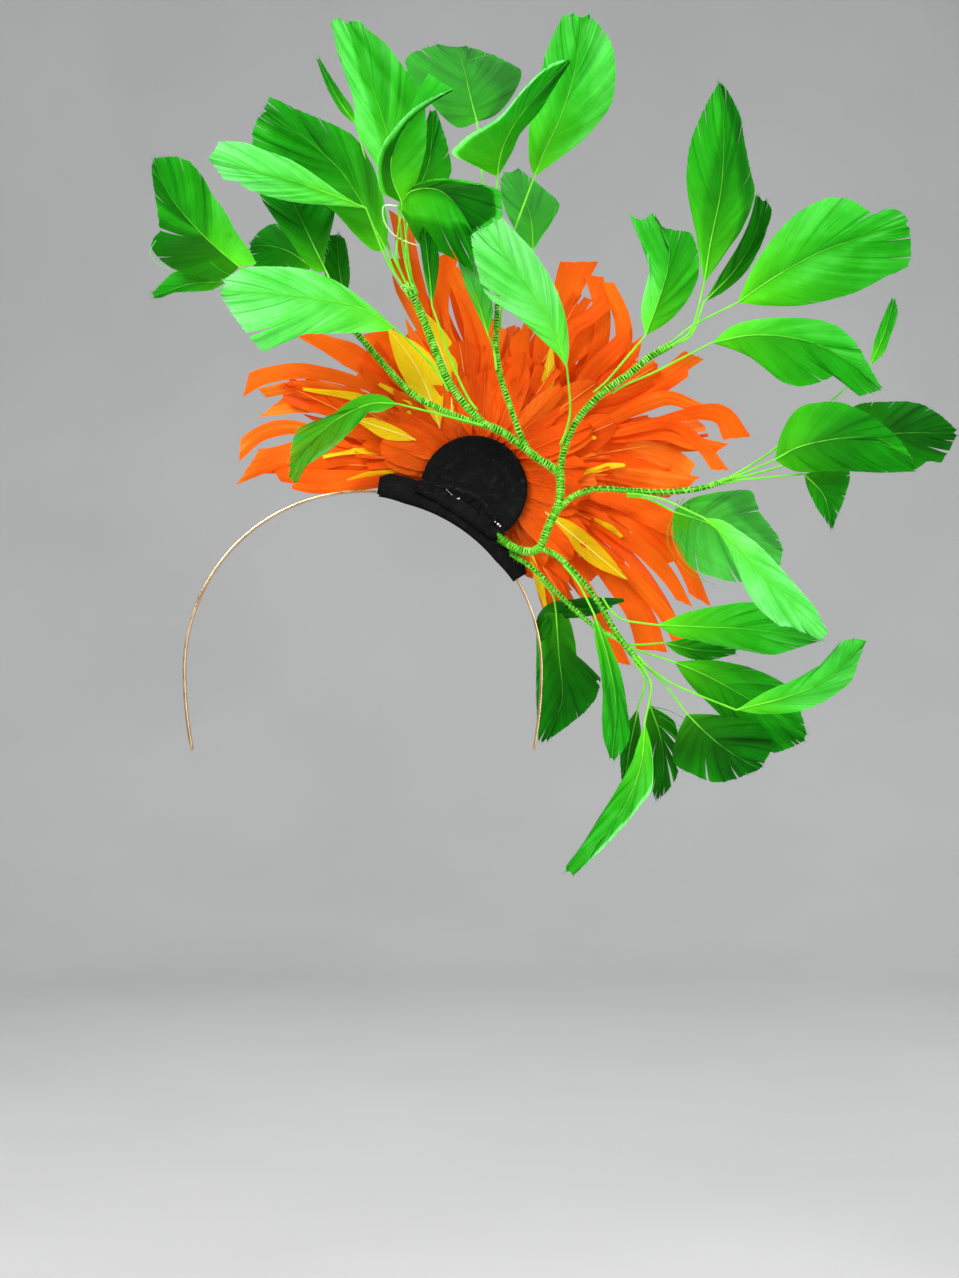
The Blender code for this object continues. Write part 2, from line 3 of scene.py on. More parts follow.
import bpy
import numpy as np
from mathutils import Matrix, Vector

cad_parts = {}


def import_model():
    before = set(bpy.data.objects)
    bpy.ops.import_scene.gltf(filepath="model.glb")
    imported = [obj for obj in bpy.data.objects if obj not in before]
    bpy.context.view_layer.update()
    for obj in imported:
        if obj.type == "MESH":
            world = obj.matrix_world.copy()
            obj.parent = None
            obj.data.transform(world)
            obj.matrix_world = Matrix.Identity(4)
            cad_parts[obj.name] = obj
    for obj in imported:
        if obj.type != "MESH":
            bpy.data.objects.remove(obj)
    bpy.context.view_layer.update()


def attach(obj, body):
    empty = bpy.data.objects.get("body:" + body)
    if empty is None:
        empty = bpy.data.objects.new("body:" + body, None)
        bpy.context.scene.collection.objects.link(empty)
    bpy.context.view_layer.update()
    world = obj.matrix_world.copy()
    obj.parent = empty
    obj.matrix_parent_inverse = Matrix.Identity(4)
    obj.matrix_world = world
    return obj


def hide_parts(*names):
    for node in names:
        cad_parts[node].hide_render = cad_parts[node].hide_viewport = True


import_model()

UNIT, SIGHT = 0.00045, 1.10
EYE_U, EYE_V, ORIGIN_U, ORIGIN_V = 479.5, 639.0, 455.0, 520.0
CROWN_U, CROWN_V, CROWN_R = 363.0, 670.0, 0.0792
BAND_R, BAND_THICK, BAND_WIDE, BAND_LEG, BAND_TOE_IN = 0.0797, 0.0012, 0.0045, 0.036, 0.0035
FELT, STRIP_FROM, STRIP_TO, STRIP_HALF, STRIP_SHAPE = 0.0020, 85.0, 30.6, 0.0115, 1.5
DISC_U, DISC_V, DISC_R, SEAT_GAP = 474.0, 489.0, 0.0240, 0.0004
QUILL_HALF, VANE_THICK = 0.00062, 0.0011
HUB_U, HUB_V, HUB_Y, HUB_R = 482.0, 474.0, 0.0150, 0.0112
MM = 0.001


# ---------------------------------------------------------------- elevation and curves
def place(u, v, y):
    k = UNIT * (SIGHT + y) / SIGHT
    return Vector(((EYE_U - ORIGIN_U) * UNIT + (u - EYE_U) * k, y,
                   -(EYE_V - ORIGIN_V) * UNIT - (v - EYE_V) * k))


def places(uv, y):
    """World points of an array of elevation points at an array of depths."""
    k = UNIT * (SIGHT + y) / SIGHT
    return np.stack([(EYE_U - ORIGIN_U) * UNIT + (uv[..., 0] - EYE_U) * k, y + 0 * k,
                     -(EYE_V - ORIGIN_V) * UNIT - (uv[..., 1] - EYE_V) * k], axis=-1)


def through(points, count):
    """count + 1 evenly spaced points on a smooth curve through the given points."""
    pts = [Vector(p) for p in points]
    pts = [pts[0] * 2 - pts[1]] + pts + [pts[-1] * 2 - pts[-2]]
    fine = []
    for i in range(1, len(pts) - 2):
        a, b, c, d = pts[i - 1:i + 3]
        for k in range(12):
            t = k / 12
            fine.append(0.5 * ((2 * b) + (c - a) * t + (2 * a - 5 * b + 4 * c - d) * t ** 2
                               + (3 * b - a - 3 * c + d) * t ** 3))
    fine.append(pts[-2])
    run = [0.0]
    for a, b in zip(fine, fine[1:]):
        run.append(run[-1] + (b - a).length)
    out, j = [], 0
    for k in range(count + 1):
        want = run[-1] * k / count
        while j < len(run) - 2 and run[j + 1] < want:
            j += 1
        out.append(fine[j].lerp(fine[j + 1], (want - run[j]) / max(run[j + 1] - run[j], 1e-9)))
    return out


def tangent(path, i):
    return (path[min(i + 1, len(path) - 1)] - path[max(i - 1, 0)]).normalized()


def smooth(points, per=10):
    """Smooth curve through the rows of points; a row's last value of 1 makes it a corner."""
    rows = [tuple(p) for p in points]
    corner = [len(p) == 3 and p[2] == 1 for p in rows]
    pts = np.array([p[:2] for p in rows], float)
    out, start = [], 0
    ends = [i for i in range(1, len(pts) - 1) if corner[i]] + [len(pts) - 1]
    for end in ends:
        seg = pts[start:end + 1]
        if len(seg) == 2:
            t = np.linspace(0, 1, per + 1)[:, None]
            fine = seg[0] + (seg[1] - seg[0]) * t
        else:
            ext = np.vstack([2 * seg[0] - seg[1], seg, 2 * seg[-1] - seg[-2]])
            a, b, c, d = ext[:-3, None], ext[1:-2, None], ext[2:-1, None], ext[3:, None]
            t = (np.arange(per) / per)[None, :, None]
            fine = 0.5 * (2 * b + (c - a) * t + (2 * a - 5 * b + 4 * c - d) * t ** 2
                          + (3 * b - a - 3 * c + d) * t ** 3)
            fine = np.vstack([fine.reshape(-1, 2), seg[-1]])
        out.append(fine if not out else fine[1:])
        start = end
    return np.vstack(out)


class Line:
    """A polyline read by its share of length."""

    def __init__(self, pts):
        self.p = np.asarray(pts, float)
        step = np.linalg.norm(np.diff(self.p, axis=0), axis=1)
        self.run = np.concatenate([[0], np.cumsum(step)])
        self.long = self.run[-1]

    def at(self, t):
        t = np.clip(t, 0, 1) * self.long
        return np.stack([np.interp(t, self.run, self.p[:, k]) for k in range(self.p.shape[1])], axis=-1)

    def way(self, t, d=0.012):
        w = self.at(np.asarray(t) + d) - self.at(np.asarray(t) - d)
        return w / np.maximum(np.linalg.norm(w, axis=-1, keepdims=True), 1e-9)


def noise1(count, rough, rng):
    """Smooth random curve of count values in about -1 to 1, with rough waves along it."""
    knots = rng.uniform(-1, 1, rough + 4)
    x = np.linspace(1, rough + 2 - 1e-6, count)
    i = x.astype(int)
    f = x - i
    f = f * f * (3 - 2 * f)
    return knots[i] * (1 - f) + knots[i + 1] * f


def ease(x):
    x = np.clip(x, 0, 1)
    return x * x * (3 - 2 * x)


# ---------------------------------------------------------------- mesh building
class Piece:
    """Collects quads and triangles with a barb coordinate and two values for the materials."""

    def __init__(self):
        self.v, self.uv, self.tone, self.along, self.faces, self.mats, self.n = [], [], [], [], [], [], 0

    def add(self, verts, faces, mat=0, uv=None, tone=0.5, along=0.5):
        verts = np.asarray(verts, float).reshape(-1, 3)
        count = len(verts)
        self.v.append(verts)
        self.uv.append(np.zeros((count, 2)) if uv is None else np.asarray(uv, float).reshape(-1, 2))
        self.tone.append(np.broadcast_to(np.asarray(tone, float).reshape(-1), (count,)))
        self.along.append(np.broadcast_to(np.asarray(along, float).reshape(-1), (count,)))
        for f in faces:
            if len(f):
                self.faces.append(np.asarray(f) + self.n)
                self.mats.append(np.full(len(f), mat))
        self.n += count

    def build(self, name, mats, node=None):
        verts = np.vstack(self.v)
        faces = [tuple(r) for f in self.faces for r in f.tolist()]
        mesh = bpy.data.meshes.new(name)
        mesh.from_pydata(verts.tolist(), [], faces)
        mesh.polygons.foreach_set("material_index", np.concatenate(self.mats).astype(np.int32))
        mesh.polygons.foreach_set("use_smooth", np.ones(len(faces), bool))
        for m in mats:
            mesh.materials.append(m)
        index = np.empty(len(mesh.loops), np.int32)
        mesh.loops.foreach_get("vertex_index", index)
        layer = mesh.uv_layers.new(name="barb")
        layer.data.foreach_set("uv", np.vstack(self.uv)[index].astype(np.float32).ravel())
        for key, values in (("tone", self.tone), ("along", self.along)):
            att = mesh.attributes.new(key, "FLOAT", "POINT")
            att.data.foreach_set("value", np.concatenate(values).astype(np.float32))
        mesh.update()
        ob = bpy.data.objects.new(name, mesh)
        bpy.context.scene.collection.objects.link(ob)
        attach(ob, "root")
        if node:
            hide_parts(node)
        return ob


def grid_faces(rows, cols, closed=False):
    i, j = np.meshgrid(np.arange(rows - 1), np.arange(cols if closed else cols - 1), indexing="ij")
    a = i * cols + j
    b = i * cols + (j + 1) % cols
    return np.stack([a, b, b + cols, a + cols], axis=-1).reshape(-1, 4)


def frames(P):
    """Tangents and two steady normals along a path."""
    T = np.gradient(P, axis=0)
    T /= np.maximum(np.linalg.norm(T, axis=1, keepdims=True), 1e-12)
    n = np.array([0.0, 0.0, 1.0]) if abs(T[0, 2]) < 0.85 else np.array([1.0, 0.0, 0.0])
    N = np.empty_like(P)
    for i in range(len(P)):
        n = n - T[i] * np.dot(n, T[i])
        n = n / max(np.linalg.norm(n), 1e-12)
        N[i] = n
    return T, N, np.cross(T, N)


def tube(P, radius, sides=6):
    """Closed round tube along P; returns vertices and faces."""
    P = np.asarray(P, float)
    radius = np.broadcast_to(np.asarray(radius, float), (len(P),))
    _, N, B = frames(P)
    a = np.arange(sides) * 2 * math.pi / sides
    ring = P[:, None] + radius[:, None, None] * (N[:, None] * np.cos(a)[None, :, None]
                                                 + B[:, None] * np.sin(a)[None, :, None])
    verts = np.vstack([ring.reshape(-1, 3), P[:1], P[-1:]])
    n = len(P) * sides
    k = np.arange(sides)
    low = np.stack([np.full(sides, n), (k + 1) % sides, k], axis=-1)
    high = np.stack([np.full(sides, n + 1), n - sides + k, n - sides + (k + 1) % sides], axis=-1)
    return verts, [grid_faces(len(P), sides, True), low, high]


def hairs(starts, ways, lengths, droop, radius, rng, steps=4, sides=3):
    """Many thin tapered strands; starts, ways (n, 3), lengths (n,), droop is how far they bend."""
    n = len(starts)
    side = rng.normal(size=(n, 3))
    side -= ways * np.sum(side * ways, axis=1, keepdims=True)
    side /= np.maximum(np.linalg.norm(side, axis=1, keepdims=True), 1e-9)
    t = np.linspace(0, 1, steps)[None, :, None]
    L = lengths[:, None, None]
    P = starts[:, None] + ways[:, None] * L * t + side[:, None] * L * droop * t ** 2
    other = np.cross(ways, side)
    a = np.arange(sides) * 2 * math.pi / sides
    r = (radius * (1 - 0.75 * np.linspace(0, 1, steps)))[None, :, None, None]
    ring = P[:, :, None] + r * (side[:, None, None] * np.cos(a)[None, None, :, None]
                                + other[:, None, None] * np.sin(a)[None, None, :, None])
    per = steps * sides
    face = grid_faces(steps, sides, True)
    faces = (face[None] + (np.arange(n) * per)[:, None, None]).reshape(-1, 4)
    lids = []
    for at, flip in ((0, True), ((steps - 1) * sides, False)):
        tri = np.arange(sides)[:3] + at
        lids.append((tri[::-1] if flip else tri)[None] + (np.arange(n) * per)[:, None])
    return ring.reshape(-1, 3), [faces] + lids


# ---------------------------------------------------------------- materials
def linear(r, g, b):
    return tuple((c / 255 / 12.92 if c <= 10 else ((c / 255 + 0.055) / 1.055) ** 2.4) for c in (r, g, b)) + (1.0,)


class Nodes:
    def __init__(self, name):
        self.mat = bpy.data.materials.new(name)
        self.mat.use_nodes = True
        self.tree = self.mat.node_tree
        self.shader = self.tree.nodes["Principled BSDF"]
        self.out = self.tree.nodes["Material Output"]

    def new(self, kind, **props):
        node = self.tree.nodes.new("ShaderNode" + kind)
        for k, v in props.items():
            setattr(node, k, v)
        return node

    def link(self, a, b):
        self.tree.links.new(a, b)

    def value(self, node, name, v):
        if hasattr(v, "is_linked"):
            self.link(v, node.inputs[name])
        else:
            node.inputs[name].default_value = v

    def math(self, op, a, b=0.0, c=0.0, clamp=False):
        node = self.new("Math", operation=op, use_clamp=clamp)
        for i, v in enumerate((a, b, c)):
            self.value(node, i, v)
        return node.outputs[0]

    def noise(self, vector, scale, detail=3.0, rough=0.6, kind="FBM"):
        node = self.new("TexNoise")
        self.link(vector, node.inputs["Vector"])
        node.inputs["Scale"].default_value = scale
        node.inputs["Detail"].default_value = detail
        node.inputs["Roughness"].default_value = rough
        return node.outputs["Fac"]

    def ramp(self, fac, stops, interpolation="LINEAR"):
        node = self.new("ValToRGB")
        node.color_ramp.interpolation = interpolation
        while len(node.color_ramp.elements) < len(stops):
            node.color_ramp.elements.new(0.5)
        for e, (pos, col) in zip(node.color_ramp.elements, stops):
            e.position, e.color = pos, col
        self.link(fac, node.inputs[0])
        return node.outputs[0]

    def mix(self, fac, a, b, blend="MIX"):
        node = self.new("Mix", data_type="RGBA", blend_type=blend)
        self.value(node, 0, fac)
        self.value(node, 6, a)
        self.value(node, 7, b)
        return node.outputs[2]

    def spread(self, fac, low, high, out_low, out_high):
        node = self.new("MapRange")
        self.link(fac, node.inputs[0])
        for i, v in enumerate((low, high, out_low, out_high)):
            node.inputs[i + 1].default_value = v
        return node.outputs[0]

    def bump(self, height, strength, distance, normal=None):
        node = self.new("Bump")
        node.inputs["Strength"].default_value = strength
        node.inputs["Distance"].default_value = distance
        self.link(height, node.inputs["Height"])
        if normal is not None:
            self.link(normal, node.inputs["Normal"])
        return node.outputs["Normal"]

    def scaled(self, vector, scale):
        node = self.new("Mapping")
        self.link(vector, node.inputs[0])
        node.inputs["Scale"].default_value = scale
        return node.outputs[0]

    def attribute(self, name):
        return self.new("Attribute", attribute_name=name).outputs["Fac"]

    @property
    def world(self):
        return self.new("TexCoord").outputs["Object"]

    @property
    def barb(self):
        return self.new("UVMap", uv_map="barb").outputs[0]


def vane_material(name, stops, foot, foot_amount, back, through_share, rough=0.62, see=0.0, contrast=0.125, tint=0.6,
                  bump=0.75):
    """Dyed vane: barb lines, blotches of dye, a tinted foot, and light that comes through; the tone it reads also
    carries painted light and shade.
    """
    m = Nodes(name)
    barb = m.barb
    fine = m.noise(m.scaled(barb, (560, 7, 1)), 1.0, 2.0, 0.55)
    broad = m.noise(m.scaled(barb, (170, 3, 1)), 1.0, 2.0, 0.6)
    wide = m.noise(m.scaled(barb, (40, 1.6, 1)), 1.0, 2.0, 0.5)
    blotch = m.noise(m.world, 75.0, 3.0, 0.55)
    streak = m.math("ADD", m.math("MULTIPLY", fine, 0.52), m.math("MULTIPLY", broad, 0.32))
    streak = m.math("ADD", streak, m.math("MULTIPLY", wide, 0.16))
    tone = m.attribute("tone")
    level = m.math("ADD", tone, m.spread(streak, 0.37, 0.63, -contrast, contrast))
    level = m.math("ADD", level, m.spread(blotch, 0.3, 0.7, -0.06, 0.06), clamp=True)
    colour = m.ramp(level, stops)
    along = m.attribute("along")
    near_foot = m.math("MULTIPLY", m.math("POWER", m.math("SUBTRACT", 1.0, along, clamp=True), 3.6), foot_amount)
    near_foot = m.math("MULTIPLY", near_foot, m.spread(tone, 0.12, 0.50, 0.25, 1.0))
    colour = m.mix(near_foot, colour, foot)
    m.link(colour, m.shader.inputs["Base Color"])
    m.shader.inputs["Roughness"].default_value = rough
    m.shader.inputs["Specular IOR Level"].default_value = 0.10
    normal = m.bump(m.math("ADD", m.math("MULTIPLY", fine, 0.5), broad), bump, 0.00045)
    m.link(normal, m.shader.inputs["Normal"])
    glow = m.new("BsdfTranslucent")
    m.link(m.mix(tint, colour, back), glow.inputs["Color"])
    m.link(normal, glow.inputs["Normal"])
    both = m.new("MixShader")
    both.inputs[0].default_value = through_share
    m.link(m.shader.outputs[0], both.inputs[1])
    m.link(glow.outputs[0], both.inputs[2])
    last = both.outputs[0]
    if see > 0:
        clear = m.new("BsdfTransparent")
        thin = m.new("MixShader")
        gaps = m.math("MULTIPLY", m.spread(m.noise(m.scaled(barb, (1300, 6, 1)), 1.0, 1.0, 0.5), 0.40, 0.60, 0.35, 1.0),
                      m.spread(m.attribute("along"), 0.0, 1.0, see * 0.4, see))
        m.link(gaps, thin.inputs[0])
        m.link(last, thin.inputs[1])
        m.link(clear.outputs[0], thin.inputs[2])
        last = thin.outputs[0]
    m.link(last, m.out.inputs[0])
    return m.mat


def quill_material(name, low, high, rough=0.35):
    m = Nodes(name)
    streak = m.noise(m.scaled(m.world, (1, 1, 1)), 180.0, 2.0, 0.5)
    level = m.math("ADD", m.attribute("tone"), m.spread(streak, 0.3, 0.7, -0.2, 0.2), clamp=True)
    m.link(m.ramp(level, [(0.0, low), (1.0, high)]), m.shader.inputs["Base Color"])
    m.shader.inputs["Roughness"].default_value = rough
    m.shader.inputs["Specular IOR Level"].default_value = 0.25
    m.link(m.bump(streak, 0.2, 0.0002), m.shader.inputs["Normal"])
    return m.mat


def thread_material(name, low, mid, high):
    m = Nodes(name)
    world = m.world
    twist = m.noise(world, 1400.0, 2.0, 0.6)
    patch = m.noise(world, 620.0, 3.0, 0.6)
    level = m.math("ADD", m.attribute("tone"), m.spread(patch, 0.3, 0.7, -0.17, 0.17))
    level = m.math("ADD", level, m.spread(twist, 0.3, 0.7, -0.2, 0.2), clamp=True)
    m.link(m.ramp(level, [(0.0, low), (0.5, mid), (1.0, high)]), m.shader.inputs["Base Color"])
    m.shader.inputs["Roughness"].default_value = 0.75
    m.shader.inputs["Specular IOR Level"].default_value = 0.15
    m.link(m.bump(twist, 0.6, 0.0003), m.shader.inputs["Normal"])
    return m.mat


def felt_material(name):
    m = Nodes(name)
    world = m.world
    nap = m.noise(world, 1700.0, 4.0, 0.7)
    clump = m.noise(world, 320.0, 3.0, 0.6)
    wear = m.noise(world, 60.0, 2.0, 0.5)
    level = m.math("ADD", m.math("MULTIPLY", nap, 0.55), m.math("MULTIPLY", clump, 0.45))
    colour = m.ramp(level, [(0.34, (0.0015, 0.0015, 0.0016, 1)), (0.54, (0.0042, 0.0042, 0.0044, 1)),
                            (0.68, (0.018, 0.018, 0.019, 1))])
    colour = m.mix(m.spread(wear, 0.45, 0.7, 0.0, 0.30), colour, (0.010, 0.010, 0.011, 1))
    m.link(colour, m.shader.inputs["Base Color"])
    m.link(m.spread(clump, 0.3, 0.7, 0.86, 1.0), m.shader.inputs["Roughness"])
    m.shader.inputs["Specular IOR Level"].default_value = 0.07
    m.shader.inputs["Sheen Weight"].default_value = 0.025
    m.shader.inputs["Sheen Roughness"].default_value = 0.6
    m.shader.inputs["Sheen Tint"].default_value = (0.25, 0.25, 0.28, 1)
    first = m.bump(clump, 0.8, 0.0007)
    m.link(m.bump(nap, 0.7, 0.0003, first), m.shader.inputs["Normal"])
    return m.mat


def metal_material(name):
    m = Nodes(name)
    world = m.world
    brush = m.noise(m.scaled(world, (60, 2600, 60)), 1.0, 3.0, 0.6)
    tarnish = m.noise(world, 90.0, 4.0, 0.6)
    colour = m.ramp(tarnish, [(0.30, (0.48, 0.29, 0.14, 1)), (0.52, (0.66, 0.45, 0.25, 1)), (0.75, (0.80, 0.60, 0.38, 1))])
    m.link(colour, m.shader.inputs["Base Color"])
    m.shader.inputs["Metallic"].default_value = 1.0
    rough = m.math("ADD", m.spread(tarnish, 0.3, 0.7, 0.20, 0.34), m.spread(brush, 0.3, 0.7, -0.04, 0.08))
    m.link(rough, m.shader.inputs["Roughness"])
    m.link(m.bump(brush, 0.15, 0.0001), m.shader.inputs["Normal"])
    return m.mat


def plain_material(name, low, high, scale, rough, bump=0.0):
    m = Nodes(name)
    n = m.noise(m.world, scale, 3.0, 0.55)
    m.link(m.ramp(n, [(0.35, low), (0.65, high)]), m.shader.inputs["Base Color"])
    m.shader.inputs["Roughness"].default_value = rough
    if bump:
        m.link(m.bump(n, 0.4, bump), m.shader.inputs["Normal"])
    return m.mat


GREEN_STOPS = [(0.0, (0.0008, 0.060, 0.0005, 1)), (0.25, (0.0020, 0.19, 0.0010, 1)), (0.52, (0.016, 0.41, 0.007, 1)),
               (0.80, (0.095, 0.74, 0.080, 1)), (1.0, (0.28, 0.96, 0.30, 1))]
green_vane = vane_material("vane_green", GREEN_STOPS, (0.14, 0.82, 0.006, 1), 0.85, (0.05, 0.80, 0.010, 1), 0.34, tint=0.22,
                           contrast=0.080, bump=0.50)
green_thin = vane_material("vane_green_thin", GREEN_STOPS, (0.10, 0.76, 0.006, 1), 0.5, (0.05, 0.70, 0.010, 1), 0.46, see=0.12, tint=0.35,
                           contrast=0.080, bump=0.50)
orange_vane = vane_material("vane_orange", [(0.0, (0.66, 0.060, 0.001, 1)), (0.35, (0.92, 0.098, 0.002, 1)),
                                            (0.70, (0.99, 0.150, 0.004, 1)), (1.0, (1.00, 0.29, 0.030, 1))],
                            (1.00, 0.16, 0.003, 1), 0.4, (1.00, 0.25, 0.008, 1), 0.30, contrast=0.15)
yellow_vane = vane_material("vane_yellow", [(0.0, (0.74, 0.44, 0.002, 1)), (0.5, (0.94, 0.68, 0.004, 1)), (1.0, (0.99, 0.86, 0.03, 1))],
                            (0.95, 0.62, 0.003, 1), 0.3, (0.97, 0.68, 0.006, 1), 0.28, contrast=0.10)
green_quill = quill_material("quill_green", (0.012, 0.22, 0.006, 1), (0.20, 0.80, 0.030, 1))
orange_quill = quill_material("quill_orange", (0.96, 0.16, 0.008, 1), (1.00, 0.36, 0.06, 1))
orange_down = vane_material("down_orange", [(0.0, (0.92, 0.12, 0.002, 1)), (1.0, (1.00, 0.36, 0.04, 1))],
                            (1.00, 0.2, 0.003, 1), 0.3, (1.00, 0.30, 0.01, 1), 0.50)
yellow_quill = quill_material("quill_yellow", (0.82, 0.52, 0.02, 1), (0.95, 0.80, 0.16, 1))
thread_light = thread_material("thread_light", (0.020, 0.18, 0.003, 1), (0.125, 0.55, 0.013, 1), (0.42, 0.90, 0.15, 1))
thread_dark = thread_material("thread_dark", (0.003, 0.035, 0.001, 1), (0.024, 0.20, 0.005, 1), (0.080, 0.42, 0.012, 1))
felt = felt_material("felt_nap")
gold = metal_material("band_satin")
glue = plain_material("glue_dry", (0.55, 0.56, 0.58, 1), (0.85, 0.86, 0.88, 1), 900.0, 0.35)
# pale fibres laid along the felt's edges: painted highlight for the thin light line on those edges
edge_highlight_fibre = plain_material("felt_fibre_edge_highlight", (0.030, 0.030, 0.032, 1), (0.11, 0.11, 0.115, 1), 700.0, 0.9)
lint = plain_material("lint", (0.20, 0.22, 0.22, 1), (0.50, 0.52, 0.52, 1), 600.0, 0.8)

# ---------------------------------------------------------------- feathers
BRANCHES = {
    "trunk": (0.0019, 0.0021, ((503, 541, -9), (522, 551, -12), (539, 548, -14), (549, 525, -15), (558, 506, -16),
                               (560.5, 487, -16), (560, 472, -16))),
    "left": (0.0020, 0.0019, ((560, 474, -16), (550, 466, -16.5), (537, 458, -17), (524, 447.5, -17), (502, 432, -17.5),
                              (481, 423, -18))),
    "spray_a": (0.0016, 0.0015, ((483, 424, -18), (463, 419, -18), (440, 409, -18.5), (415, 396, -19), (394, 376, -20),
                                 (371, 350, -21), (347, 322, -22))),
    "spray_b": (0.0018, 0.0020, ((485, 425, -18), (467, 407, -19), (450, 384, -20), (437, 355, -21.5), (425, 323, -22.5),
                                 (408, 285, -24))),
    "spray_c": (0.0015, 0.0013, ((528, 450, -17), (518, 429, -18), (510, 406, -18), (500, 375, -17.5), (496, 344, -17),
                                 (497, 308, -16.5), (497, 284, -16))),
    "spray_d": (0.0016, 0.0018, ((560, 475, -16), (564, 450, -17), (578, 419, -19), (604, 391.5, -21), (629, 374, -23),
                                 (650, 357, -24.5), (671, 345, -26))),
    "spray_e": (0.0014, 0.0014, ((558, 510, -16), (574, 496, -18), (597, 489, -20), (628, 490.5, -22), (660, 492, -23.5),
                                 (697, 489, -25), (734, 478, -26))),
    "spray_f": (0.0014, 0.0015, ((538, 548, -14), (557, 556, -15), (581, 580, -17), (600, 605, -18.5), (619, 637, -20),
                                 (643, 667, -22))),
    "lower": (0.0012, 0.0012, ((516, 557, -9), (537, 572, -10.5), (562, 598, -11.5), (590, 623, -12), (614, 638, -12))),
}
paths = {n: through([place(u, v, y / 1000) for u, v, y in row[2]], 8 if n == "lower" else 2 * (len(row[2]) - 1))
         for n, row in BRANCHES.items()}
RADII = {n: row[:2] for n, row in BRANCHES.items()}
